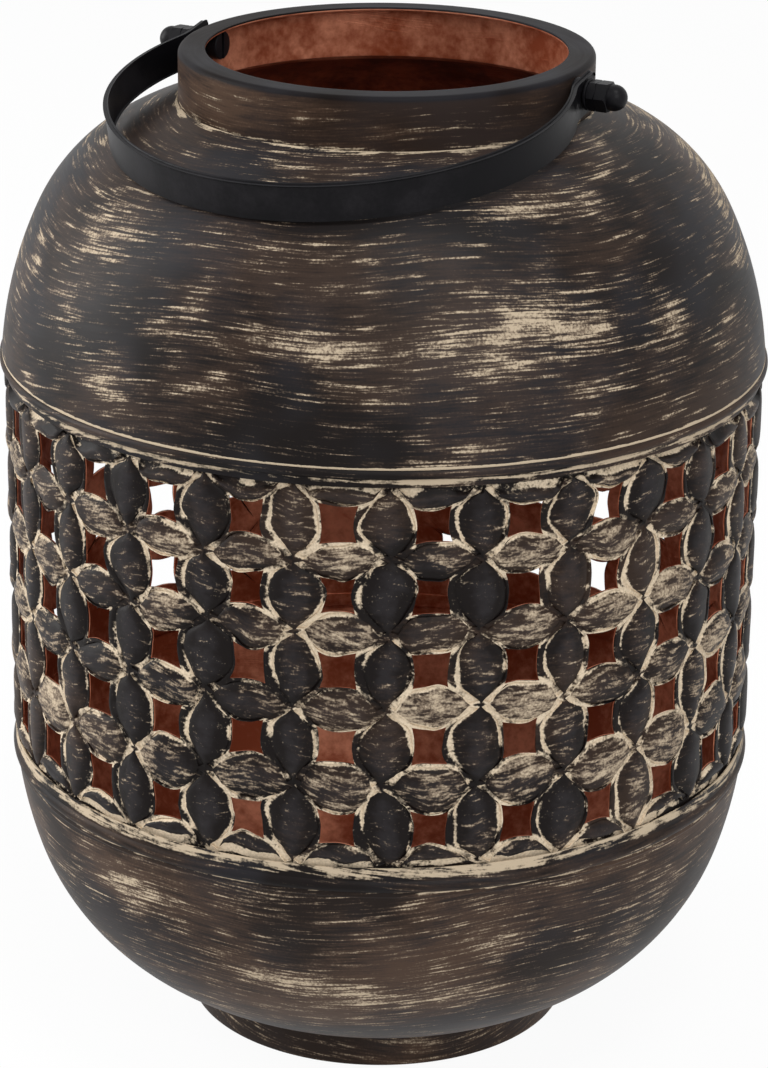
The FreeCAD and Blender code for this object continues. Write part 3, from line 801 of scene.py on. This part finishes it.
bandShape = {
    "columns": 27, "radius": 111.2, "wall": 0.8, "turn": 7.2,
    "bottom": 87.0, "start": 92.4, "end": 205.7, "top": 211.1,
    "rows": (104.07, 129.45, 151.66, 173.86, 194.82),
    "holeHalfWidth": 4.4, "holeHalfHeight": 4.7, "holeCurve": 0.8,
    "petalShift": 0.8,  # the upright petals stand a little to the right
    "uprightHalf": 7.1, "levelMargin": 0.4, "tipGap": (0.5, 1.5), "endLine": 0.3, "endStart": 0.86,
    "petalForms": {"level": (0.8, 2.3, 0.62), "upper": (1, 2.6, 0.7), "lower": (1, 2, 0.8)},
    "ovalReach": 0.82, "ovalHeight": 0.8, "press": 1.3, "insidePress": 0.5, "line": 0.5, "sidePoints": 11,
    "holeFree": 0.5,  # the holes wander less than the petals
    "holeDip": 0.12, "marginShares": (0, 0.14, 0.5, 1), "petalShares": (0.09, 0.22, 0.42, 0.68, 1),
    "fill": {"right": 0.85, "bottom": 0.9, "top": 0.4, "left": 0.4}, "fillRise": 0.7,
    "rimCream": {"top": 0.7, "bottom": 0.55, "left": 0.4, "right": 0.5}, "cornerCream": 0.4,
    "borderCream": {"top": 0.25, "bottom": 0.6}, "noEdge": -9,  # no pressed line near
    "wander": 0.6, "wanderLength": 45, "shake": 1.2, "shakeLength": 12, "seed": 7,
}


def smooth(t):
    t = min(1, max(0, t))
    return t * t * (3 - 2 * t)


levelSides = ("top", "bottom")  # a cell's sides where level petals lie


# Width of a petal along its length, from 1 at its middle to 0 at its ends. The upper end
# of an upright petal is the rounder one.
def petalFullness(s, side, u):
    form = "level" if side in levelSides else "upper" if u > 0 else "lower"
    reach, power, root = s["petalForms"][form]
    return max(0, 1 - (abs(u) / reach) ** power) ** root


# For u from -1 to 1 along a side of a cell: the points on the hole's edge, on the
# petal's outline and on the cell's boundary
def sidePoints(s, side, u, box):
    left, right, down, up = box
    x, halfX = (left + right) / 2, (right - left) / 2
    y, halfY = (up + down) / 2, (up - down) / 2
    w, h, curve = s["holeHalfWidth"], s["holeHalfHeight"], s["holeCurve"]
    gapX, gapY = s["tipGap"]
    full = petalFullness(s, side, u)
    bow = curve * u * u
    sign = 1 if side in ("top", "right") else -1
    if side in levelSides:
        edge = up if sign > 0 else down
        # a level petal ends short of the tips of the upright ones
        gap = s["endLine"] + (gapY - s["endLine"]) * smooth((abs(u) - s["endStart"]) / (1 - s["endStart"]))
        half = sign * edge - h - s["levelMargin"]
        return (Vector((u * (w + curve), sign * (h + bow))),
                Vector((x + u * (halfX - gapX), edge - sign * (gap + (half - gap) * full))),
                Vector((x + u * halfX, edge)))
    edge = right if sign > 0 else left
    return (Vector((sign * (w + bow), u * (h + curve))),
            Vector((edge - sign * (gapX + (s["uprightHalf"] - gapX) * full), y + u * (halfY - gapY))),
            Vector((edge, y + u * halfY)))


# Marks of the outer face: how much cream the pressed line takes, and on which petals
def outerMarks(s, side, u, **marks):
    fill = s["fill"][side]
    if side in levelSides:
        return {"free": 1, "upright": 0, "fill": fill if petalFullness(s, side, u) else fill / 2, **marks}
    return {"free": 1, "upright": 1, "fill": fill + s["fillRise"] * u, **marks}


# The flat margin between the hole and the petals' outline. Like the spots that follow, it
# gives place, height and paint marks at a share of the way outwards.
def marginSpot(s, side, u, hole, line, share, samples):
    here = hole.lerp(line, share)
    height = {0: -s["holeDip"], 1: -s["line"]}.get(share, 0)
    marks = outerMarks(
        s, side, u, edge=-min((here - p).length for p in samples), free=1 if share else s["holeFree"],
        arm=smooth((abs(u) - 0.45) / 0.4) * smooth((share + 0.15) / 0.3) * (1 - 0.2 * share))
    if share < 0.5:
        marks["cream"] = s["rimCream"][side] + s["cornerCream"] * smooth((abs(u) - 0.5) / 0.4) - share
    return here, height, marks


# Half of a pressed petal. The corners under the seam rings meet the next column's line.
def petalSpot(s, side, u, line, bound, share, seamCorner):
    fade = 1 - abs(u) ** 4
    if side in levelSides:
        fade = min(fade, petalFullness(s, side, u) ** 0.6)
    rise = smooth(0.12 + share * 0.95) * s["press"] * fade
    height = -s["line"] if seamCorner else rise - s["line"] * (1 - smooth(share * 5))
    return line.lerp(bound, share), height, outerMarks(
        s, side, u, edge=(bound - line).length * share, rise=rise,
        arm=0.75 * smooth((abs(u) - 0.86) / 0.12) * (1 - share))


# At the band's borders half an oval petal, closed below the seam
def borderSpot(s, side, u, line, bound, share):
    oval = sqrt(max(0.02, 1 - (abs(u) / s["ovalReach"]) ** 2))
    across = min(1, share / s["petalShares"][-2])
    bulge = 4 * across * (1 - across) * oval
    rise = sqrt(bulge) * s["press"] * 0.9
    height = rise - s["line"] * (1 - smooth(bulge * 3))
    here = line.lerp(bound, across * s["ovalHeight"] * oval if share < 1 else 1)
    return here, height, outerMarks(
        s, side, u, edge=2.2 * bulge, rise=rise, upright=1, arm=0.32 * smooth((abs(u) - 0.7) / 0.2),
        cream=s["borderCream"][side] if share == 1 else 0)


# The inner face, a little dished behind the petals
def insideSpot(s, side, u, here, dished, free=1):
    lift = 0
    if dished:
        fade = petalFullness(s, side, u) ** 0.6 if side in levelSides else 1 - abs(u) ** 4
        lift = s["insidePress"] * fade
    return here, lift - s["wall"], {"inner": 1, "edge": s["noEdge"], "free": free}


# One column of cells, flat, with paint marks on its points
def columnStrip(s):
    rows = s["rows"]
    last = len(rows) - 1
    cuts = [s["start"]] + [(a + b) / 2 for a, b in zip(rows, rows[1:])] + [s["end"]]
    pitch = tau * s["radius"] / s["columns"]
    count = s["sidePoints"]
    verts, faces = [], []
    tables = {name: [] for name in (
        "along", "inner", "cream", "edge", "upright", "fill", "arm", "rise", "free")}

    def put(x, z, height, marks):
        verts.append((x * mm, z * mm, height * mm))
        for name, values in tables.items():
            values.append(z * mm if name == "along" else marks.get(name, 0))
        return len(verts) - 1

    def skin(rings, inward=False):
        for low, high in zip(rings, rings[1:]):
            for a, b, c, d in zip(low, high, high[1:] + high[:1], low[1:] + low[:1]):
                faces.append((a, d, c, b) if inward else (a, b, c, d))

    # anticlockwise: right side upwards, top leftwards, left downwards, bottom rightwards
    walk = []
    for side, sign in (("right", 1), ("top", -1), ("left", -1), ("bottom", 1)):
        walk += [(side, sign * (-1 + 2 * k / count)) for k in range(count)]

    for row, level in enumerate(rows):
        box = (-pitch / 2 + s["petalShift"], pitch / 2 + s["petalShift"],
               cuts[row] - level, cuts[row + 1] - level)
        border = {0: "bottom", last: "top"}.get(row)
        seamSide = {0: "right", last: "left"}.get(row)
        samples = [sidePoints(s, side, -1 + 2 * k / 60, box)[1] for side in s["fill"] for k in range(61)]

        def margin(side, u, share, hole, line, bound):
            return marginSpot(s, side, u, hole, line, share, samples)

        def petal(side, u, share, hole, line, bound):
            if side == border:
                return borderSpot(s, side, u, line, bound, share)
            return petalSpot(s, side, u, line, bound, share, side == seamSide and abs(u) == 1)

        def behind(side, u, share, hole, line, bound):
            if share > 1:
                return insideSpot(s, side, u, bound, side != border)
            return insideSpot(s, side, u, hole.lerp(line, share), False, 1 if share else s["holeFree"])

        def ring(spot, share):
            made = []
            for side, u in walk:
                here, height, marks = spot(side, u, share, *sidePoints(s, side, u, box))
                made.append(put(here.x, level + here.y, height, marks))
            return made

        layers = [ring(margin, share) for share in s["marginShares"]]
        layers += [ring(petal, share) for share in s["petalShares"]]
        inside = [ring(behind, share) for share in (0, 1, 2)]
        skin(layers)
        skin(inside, True)
        skin([inside[0], layers[0]])
        if not border:
            continue
        # plain hems above and below, hidden in the seam rings
        where = [k for k, (name, u) in enumerate(walk) if name == border]
        where.append((where[-1] + 1) % len(walk))
        rims = []
        for edge, depth, inner in ((layers[-1], 0, 0), (inside[-1], -s["wall"], 1)):
            marks = {"inner": inner, "edge": s["noEdge"]}
            start = [edge[k] for k in where]
            hem = [put(verts[k][0] / mm, s[border], depth, marks) for k in start]
            rims.append(hem)
            for a, b, c, d in zip(start, start[1:], hem[1:], hem):
                faces.append((a, b, c, d) if inner else (d, c, b, a))
        faces += list(zip(rims[0], rims[0][1:], rims[1][1:], rims[1]))

    return linked("columnStrip", newMesh("columnStrip", verts, faces, tables))


# A tree with the given inputs and a material, which endTree sets on the result
def newTree(name, inputs):
    tree = bpy.data.node_groups.new(name, "GeometryNodeTree")
    tree.interface.new_socket("Geometry", in_out="INPUT", socket_type="NodeSocketGeometry")
    for label, kind in inputs + [("Material", "Material")]:
        tree.interface.new_socket(label, in_out="INPUT", socket_type="NodeSocket" + kind)
    tree.interface.new_socket("Geometry", in_out="OUTPUT", socket_type="NodeSocketGeometry")
    g = Graph(tree)
    return g, g.node("NodeGroupInput")


def realCopies(g, points, instance, rotation):
    copies = g.node("GeometryNodeInstanceOnPoints", {
        "Points": points, "Instance": instance, "Rotation": rotation})
    return g.node("GeometryNodeRealizeInstances", {"Geometry": copies})


def endTree(g, given, geometry):
    coated = g.node("GeometryNodeSetMaterial", {
        "Geometry": geometry, "Material": given.out("Material")})
    g.node("NodeGroupOutput", {"Geometry": coated})
    return g.tree


# Bends the strip to the band's radius, sets copies of it round the axis, lets
# the pattern wander as hand work does, and joins the copies
def rollingTree():
    g, given = newTree("rollBand", [("Columns", "Int")] + [(label, "Float") for label in (
        "Radius", "First Turn", "Wander", "Wander Length", "Shake", "Shake Length", "Seed")])
    columns, radius = given.out("Columns"), given.out("Radius")
    place = g.node("GeometryNodeInputPosition")
    apart = g.node("ShaderNodeSeparateXYZ", {0: place})
    angle = apart / radius
    reach = apart.out("Z") + radius
    rolled = g.vector(reach * g.maths("SINE", angle), 0 - reach * g.maths("COSINE", angle), apart.out("Y"))
    bent = g.node("GeometryNodeSetPosition", {"Geometry": given.out("Geometry"), "Position": rolled})
    marks = g.node("GeometryNodeMeshLine", {"Count": columns, "Offset": (0, 0, 0)})
    index = g.node("GeometryNodeInputIndex")
    turn = given.out("First Turn") + index * (tau / columns)
    real = realCopies(g, marks, bent, g.vector(0, 0, turn))
    # sideways and up or down, not in or out: whole petals wander, and each is a little bent
    free = g.node("GeometryNodeInputNamedAttribute", {"Name": "free"}, data_type="FLOAT")
    pushes = []
    for size, length in (("Wander", "Wander Length"), ("Shake", "Shake Length")):
        spot = g.scaled(place, 1 / given.out(length))
        field = g.node("ShaderNodeTexNoise", {
            "Vector": spot, "W": given.out("Seed"), "Scale": 1, "Detail": 1},
            out="Color", noise_dimensions="4D")
        push = g.node("ShaderNodeSeparateXYZ", {0: field})
        amount = free * given.out(size) * 5
        pushes.append(((push - 0.5) * amount, (push.out("Y") - 0.5) * amount))
    (farX, farZ), (nearX, nearZ) = pushes
    swing = (farX + nearX) / radius
    here = g.node("ShaderNodeVectorRotate", {"Vector": place, "Angle": swing}, rotation_type="Z_AXIS")
    lift = g.vector(0, 0, farZ + nearZ)
    moved = g.node("GeometryNodeSetPosition", {"Geometry": real, "Position": here, "Offset": lift})
    joined = g.node("GeometryNodeMergeByDistance", {"Geometry": moved, "Distance": 0.00001})
    return endTree(g, given, joined)


# Runs a tree on an object and returns the result as a plain mesh
def evaluatedMesh(piece, tree, values):
    change = piece.modifiers.new(tree.name, "NODES")
    change.node_group = tree
    for item in tree.interface.items_tree:
        if item.in_out == "INPUT" and item.name in values:
            change[item.identifier] = values[item.name]
    piece.update_tag()
    return bakedMesh(piece)


def makeBand(s):
    strip = columnStrip(s)
    mesh = evaluatedMesh(strip, rollingTree(), {
        "Columns": s["columns"], "Radius": s["radius"] * mm, "First Turn": radians(s["turn"]),
        "Wander": s["wander"] * mm, "Wander Length": s["wanderLength"] * mm,
        "Shake": s["shake"] * mm, "Shake Length": s["shakeLength"] * mm, "Seed": float(s["seed"]),
        "Material": finishes["band"]})
    bpy.data.objects.remove(strip)
    pointOutwards(mesh)
    piece = keepPiece("pressedBand", mesh, finishes["band"], 50)
    register(piece, "pierced_band")
    print("band pressed:", len(piece.data.polygons), "faces")


makeBand(bandShape)


# Candle tray and rivet

trayShape = {
    "floor": 11.2, "radius": 41.0, "height": 12.0, "wall": 0.6, "bend": 3.0, "rim": 2.4,
    "bore": 2.05, "countersink": 3.65, "rimRoll": 0.28,
}


def makeTray(s):
    base = s["floor"] + s["wall"]
    inside = s["radius"] - s["wall"]
    bend = s["radius"] - s["bend"]
    bendLevel = s["floor"] + s["bend"]
    rimLevel = s["floor"] + s["height"]
    edge = s["radius"] + s["rim"]
    outline = [(s["bore"], s["floor"])] + arc((bend, bendLevel), s["bend"], -90, 0, 8)
    outline += [(s["radius"], rimLevel - s["wall"]), (edge, rimLevel - s["wall"]), (edge, rimLevel),
                (inside, rimLevel)]
    outline += arc((bend, bendLevel), s["bend"] - s["wall"], 0, -90, 8) + [(s["countersink"], base)]
    piece = spin("candleTray", outline, "copper", turns=128, corner=s["rimRoll"])
    register(piece, "candle_tray", slot="copper_paint")


rivetShape = {
    "radius": 2.0, "headRadius": 3.6, "headStart": 11.2, "headTop": 11.8,
    "tailRadius": 3.4, "tailHeight": 1.1, "underFloor": 10.4, "edge": 0.3, "hollow": 0.12,
}


# A flush rivet: its cone lies in the tray's countersunk hole
def makeRivet(s):
    tail = s["underFloor"] - s["tailHeight"]
    outline = [(0, tail), (s["tailRadius"], tail), (s["tailRadius"], s["underFloor"]),
               (s["radius"], s["underFloor"]), (s["radius"], s["headStart"]),
               (s["headRadius"], s["headTop"]), (s["radius"], s["headTop"] - s["hollow"]),
               (0, s["headTop"] - s["hollow"])]
    piece = spin("trayRivet", outline, "steel", turns=40, corner=s["edge"])
    register(piece, "tray_rivet", slot="black_steel")


makeTray(trayShape)
makeRivet(rivetShape)
print("tray and rivet made")


# Bail: flat strip along arcs that meet smoothly, with rounded edges

bailShape = {
    "outside": 64.0, "width": 11.0, "thickness": 2.0, "tip": 5.5, "flat": 4.0, "bend": 12.0,
    "lean": 20.9, "corner": 56.6, "cornerTurn": 51.4, "edge": 0.45, "tipRound": 1.6,
    "holeRadius": 2.58, "tipRows": (0, 0.06, 0.14, 0.24, 0.35, 0.5, 0.65, 0.8, 0.95), "tipReach": 1.05,
    "flatRows": (0.3, 0.6, 0.85, 1), "arcSteps": (8, 28, 34),
}


# Points of the strip's face at a depth below its outer face, from the right tip to the middle
def bailFace(s, depth):
    lean = radians(s["lean"])
    split = radians(s["cornerTurn"] - s["lean"])
    x = s["outside"] - depth
    bend = s["bend"] + depth
    bendX = s["outside"] + s["bend"]
    corner = s["corner"] - depth
    points = [(x, -s["tip"] + share * s["tip"] * s["tipReach"]) for share in s["tipRows"]]
    points += [(x, s["flat"] * share) for share in s["flatRows"]]

    def sweep(x, y, radius, first, last, steps):  # a negative radius bends the other way
        for k in range(1, steps + 1):
            a = first + (last - first) * k / steps
            points.append((x + radius * cos(a), y + abs(radius) * sin(a)))

    steps = s["arcSteps"]
    sweep(bendX, s["flat"], -bend, 0, lean, steps[0])
    centreX = points[-1][0] - corner * cos(lean)
    centreY = points[-1][1] + corner * sin(lean)
    sweep(centreX, centreY, corner, -lean, split, steps[1])
    topRadius = corner + centreX / cos(split)
    sweep(0, centreY - centreX * tan(split), topRadius, split, pi / 2, steps[2])
    points[-1] = (0, points[-1][1])
    return points + [(-px, py) for px, py in reversed(points[:-1])]


def makeBail(s):
    outer = bailFace(s, 0)
    inner = bailFace(s, s["thickness"])
    drop = bailDrop(s, max(py for px, py in outer))
    half = s["width"] / 2
    edge = s["edge"]
    section = []
    for cx, cw, first in ((edge, half - edge, 90), (s["thickness"] - edge, half - edge, 0),
                          (s["thickness"] - edge, -half + edge, -90), (edge, -half + edge, -180)):
        for k in range(4):
            a = radians(first - 30 * k)
            section.append((cx + edge * cos(a), cw + edge * sin(a)))
    forward = Vector((-sin(radians(pivot["turn"])), -cos(radians(pivot["turn"])), 0))
    axis = pivotAxis()
    reach = forward * cos(drop) - Vector((0, 0, sin(drop)))
    upward = axis.cross(reach)
    origin = Vector((0, 0, pivot["level"]))
    verts, faces, rings = [], [], []
    for o, n in zip(outer, inner):
        fromTip = s["tip"] + o[1]
        narrow = 0
        if fromTip < s["tipRound"]:
            narrow = s["tipRound"] - sqrt(s["tipRound"] ** 2 - (s["tipRound"] - fromTip) ** 2)
        ring = []
        for depth, across in section:
            t = depth / s["thickness"]
            x = o[0] + (n[0] - o[0]) * t
            y = o[1] + (n[1] - o[1]) * t
            w = across * (half - narrow) / half
            ring.append(len(verts))
            verts.append((origin + axis * x + reach * y + upward * w) * mm)
        rings.append(ring)
    count = len(section)
    for a, b in zip(rings, rings[1:]):
        for k in range(count):
            n = (k + 1) % count
            faces.append((a[k], a[n], b[n], b[k]))
    faces.append(rings[0][::-1])
    faces.append(rings[-1])
    mesh = newMesh("bail", verts, faces)
    pointOutwards(mesh)
    piece = keepPiece("bail", mesh, finishes["steel"], 30)
    ends = s["outside"] + pivot["spare"]
    rework(piece, [("DIFFERENCE", plainRod(s["holeRadius"], -ends, ends, axis, origin * mm))])
    register(piece, "handle", body="bail", slot="black_steel")


# The angle by which the bail lies below level at rest, from its solid's lowest height
def bailDrop(s, apex):
    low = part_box("handle")[0][2] / mm
    below = pivot["level"] - low
    half = s["width"] / 2
    drop = 0
    for _ in range(40):
        drop = asin(min(1, (below - half * cos(drop)) / apex))
    return drop


makeBail(bailShape)
print("bail made")


# Pivot fasteners: each is made once along +Z and set at both ends of the pivot line

fastener = {
    "boltHead": 4.25, "headHeight": 3.3, "engagement": 5.0, "slotWidth": 1.2, "slotDepth": 1.3,
    "washer": 4.5, "washerHole": 2.65, "nutAcross": 8.0, "nutHole": 2.53,
    "lockHeight": 2.7, "hexHeight": 3.5, "domeRadius": 3.75, "collar": 1.0, "boreDepth": 6.0,
    "neckInside": 59.2, "seat": 0.05, "innerWasher": 1.0, "spacer": 1.65, "outerWasher": 0.8,
    "sidePlay": 0.1, "edge": 0.25, "nutBevel": 0.12, "headRound": 0.5,
    "cornerSpare": 0.02, "flatCut": 0.15, "spare": 2,  # a cutter reaches out by the spare
}


def pivotTree():
    g, given = newTree("setOnPivot", [("Distance", "Float"), ("Level", "Float"), ("Turn", "Float")])
    marks = g.node("GeometryNodeMeshLine", {"Count": 2})
    side = 1 - 2 * g.node("GeometryNodeInputIndex")
    turn = given.out("Turn")
    axis = g.vector(side * g.maths("COSINE", turn), side * g.maths("SINE", turn) * -1, 0)
    reach = g.scaled(axis, given.out("Distance"))
    up = g.vector(0, 0, given.out("Level"))
    ends = g.node("GeometryNodeSetPosition", {"Geometry": marks, "Position": reach, "Offset": up})
    rotation = g.node("FunctionNodeAxesToRotation", {
        "Primary Axis": axis, "Secondary Axis": (0, 0, 1)}, primary_axis="Z", secondary_axis="X")
    return endTree(g, given, realCopies(g, ends, given.out("Geometry"), rotation))


onPivot = pivotTree()


def setOnPivot(name, made, distance, nodes):
    finish = finishes["steel"]
    mesh = evaluatedMesh(made, onPivot, {
        "Distance": distance * mm, "Level": pivot["level"] * mm, "Turn": radians(pivot["turn"]),
        "Material": finish})
    bpy.data.objects.remove(made)
    piece = keepPiece(name, mesh, finish, 30)
    register(piece, nodes + "_right", nodes + "_left", slot="black_steel")


def turnedPiece(name, points, edge=0):
    return spin(name, points, turns=48, corner=edge)


def hexCorner(across):
    return across / 2 / cos(pi / 6)


def hexBlock(across, height):
    def build(work):
        corner = hexCorner(across) * mm
        angles = [pi / 3 * k + pi / 6 for k in range(6)]
        ring = [work.verts.new((corner * cos(a), corner * sin(a), 0)) for a in angles]
        raised = bmesh.ops.extrude_face_region(work, geom=[work.faces.new(ring)])
        top = [v for v in raised["geom"] if isinstance(v, bmesh.types.BMVert)]
        bmesh.ops.translate(work, verts=top, vec=(0, 0, height * mm))
        bmesh.ops.recalc_face_normals(work, faces=work.faces)
    return builtObject("hexBlock", build)


# The round chamfer of a nut's corners: a turned body that the hexagon is cut down to
def chamferBody(s, height, bothEnds):
    corner = hexCorner(s["nutAcross"]) + s["cornerSpare"]
    flat = s["nutAcross"] / 2 - s["flatCut"]
    cut = (corner - flat) * tan(radians(30))
    points = [(0, 0), (flat, 0), (corner, cut)] if bothEnds else [(0, 0), (corner, 0)]
    return turnedPiece("chamfer", points + [(corner, height - cut), (flat, height), (0, height)])


def makeFasteners(s):
    washerFace = sqrt(s["neckInside"] ** 2 - s["washer"] ** 2) - s["seat"]
    washerBack = washerFace - s["innerWasher"]
    headStart = washerBack - s["headHeight"]
    spacerStart = neckShape["radius"] + s["seat"]
    outerStart = bailShape["outside"] + s["sidePlay"]
    lockStart = outerStart + s["outerWasher"]
    capStart = lockStart + s["lockHeight"]

    length = capStart + s["engagement"] - headStart
    bolt = turnedPiece("boltShape", [
        (0, 0), (s["boltHead"], 0), (s["boltHead"], s["headHeight"]),
        (pivot["boltRadius"], s["headHeight"]), (pivot["boltRadius"], length), (0, length)], s["headRound"])
    slotSize = Matrix.Diagonal((18 * mm, s["slotWidth"] * mm, (s["slotDepth"] + s["spare"]) * mm, 1))
    slotPlace = Matrix.Translation((0, 0, (s["slotDepth"] - s["spare"]) / 2 * mm))
    slot = builtObject("slotCutter", lambda work: bmesh.ops.create_cube(work, matrix=slotPlace @ slotSize))
    rework(bolt, [("DIFFERENCE", slot)])
    setOnPivot("pivotBolts", bolt, headStart, "pivot_bolt")

    hole, rim = s["washerHole"], s["washer"]
    for name, node, start, thick in (
            ("innerWashers", "inner_washer", washerBack, s["innerWasher"]),
            ("spacerWashers", "spacer_washer", spacerStart, s["spacer"]),
            ("outerWashers", "outer_washer", outerStart, s["outerWasher"])):
        washer = turnedPiece(name, [(hole, 0), (rim, 0), (rim, thick), (hole, thick)], s["edge"])
        setOnPivot(name, washer, start, node)

    nut = hexBlock(s["nutAcross"], s["lockHeight"])
    rod = plainRod(s["nutHole"], -s["spare"], s["lockHeight"] + s["spare"])
    rework(nut, [("INTERSECT", chamferBody(s, s["lockHeight"], True)), ("DIFFERENCE", rod)], s["nutBevel"])
    setOnPivot("lockNuts", nut, lockStart, "lock_nut")

    cap = hexBlock(s["nutAcross"], s["hexHeight"])
    collar = s["hexHeight"] + s["collar"]
    dome = [(0, 1), (s["domeRadius"], 1), (s["domeRadius"], collar)]
    for k in range(1, 14):
        a = radians(90 * k / 14)
        dome.append((s["domeRadius"] * cos(a), collar + s["domeRadius"] * sin(a)))
    dome.append((0, collar + s["domeRadius"]))
    rod = plainRod(s["nutHole"], -s["spare"], s["boreDepth"])
    rework(cap, [("INTERSECT", chamferBody(s, s["hexHeight"], False)),
                 ("UNION", turnedPiece("capDome", dome)), ("DIFFERENCE", rod)])
    setOnPivot("capNuts", cap, capStart, "cap_nut")


makeFasteners(fastener)
print("fasteners set on the pivot line")


# Floor, world and lamps

studio = {
    "floorSize": 12,  # metres
    "worldLight": 0.42,
    "floorColour": (0.95, 0.95, 0.95, 1),
    "floorGlow": 0.94,
    "lamps": (  # name, place, target, width, height, watts
        ("topSoftbox", (0.30, -0.62, 1.75), (0, 0, 0.15), 0.5, 0.5, 9.5),
        ("frontSoftbox", (0.55, -1.70, 1.25), (0, 0, 0.20), 1.0, 0.8, 13),
        ("leftSoftbox", (-1.5, 0.25, 0.75), (0, 0, 0.17), 0.8, 1.3, 23),
    ),
}


def makeStudio(s):
    half = s["floorSize"] / 2
    corners = [(-half, -half, 0), (half, -half, 0), (half, half, 0), (-half, half, 0)]
    mesh = newMesh("floor", corners, [(0, 1, 2, 3)])
    floor = linked("floor", mesh)
    material, g = newFinish("paleFloor")
    paint = g.node("ShaderNodeBsdfDiffuse", {"Color": s["floorColour"]})
    glow = g.node("ShaderNodeEmission", {"Color": (1, 1, 1, 1), "Strength": 1})
    showSurface(g, g.node("ShaderNodeMixShader", {0: g.shown() * s["floorGlow"], 1: paint, 2: glow}))
    mesh.materials.append(material)

    world = bpy.data.worlds.new("studioWorld")
    world.use_nodes = True
    world.node_tree.nodes.clear()
    g = Graph(world.node_tree)
    soft = g.node("ShaderNodeBackground", {"Color": (1, 1, 1, 1), "Strength": s["worldLight"]})
    white = g.node("ShaderNodeBackground", {"Color": (1, 1, 1, 1), "Strength": 1})
    g.node("ShaderNodeOutputWorld", {
        "Surface": g.node("ShaderNodeMixShader", {0: g.shown(), 1: soft, 2: white})})
    bpy.context.scene.world = world

    for name, place, target, width, height, watts in s["lamps"]:
        data = bpy.data.lights.new(name, "AREA")
        data.shape = "RECTANGLE"
        data.size = width
        data.size_y = height
        data.energy = watts
        lamp = bpy.data.objects.new(name, data)
        lamp.location = place
        lamp.rotation_euler = (Vector(target) - Vector(place)).to_track_quat("-Z", "Y").to_euler()
        bpy.context.collection.objects.link(lamp)

    bpy.context.scene.view_settings.view_transform = "Standard"


makeStudio(studio)
print("studio lit")
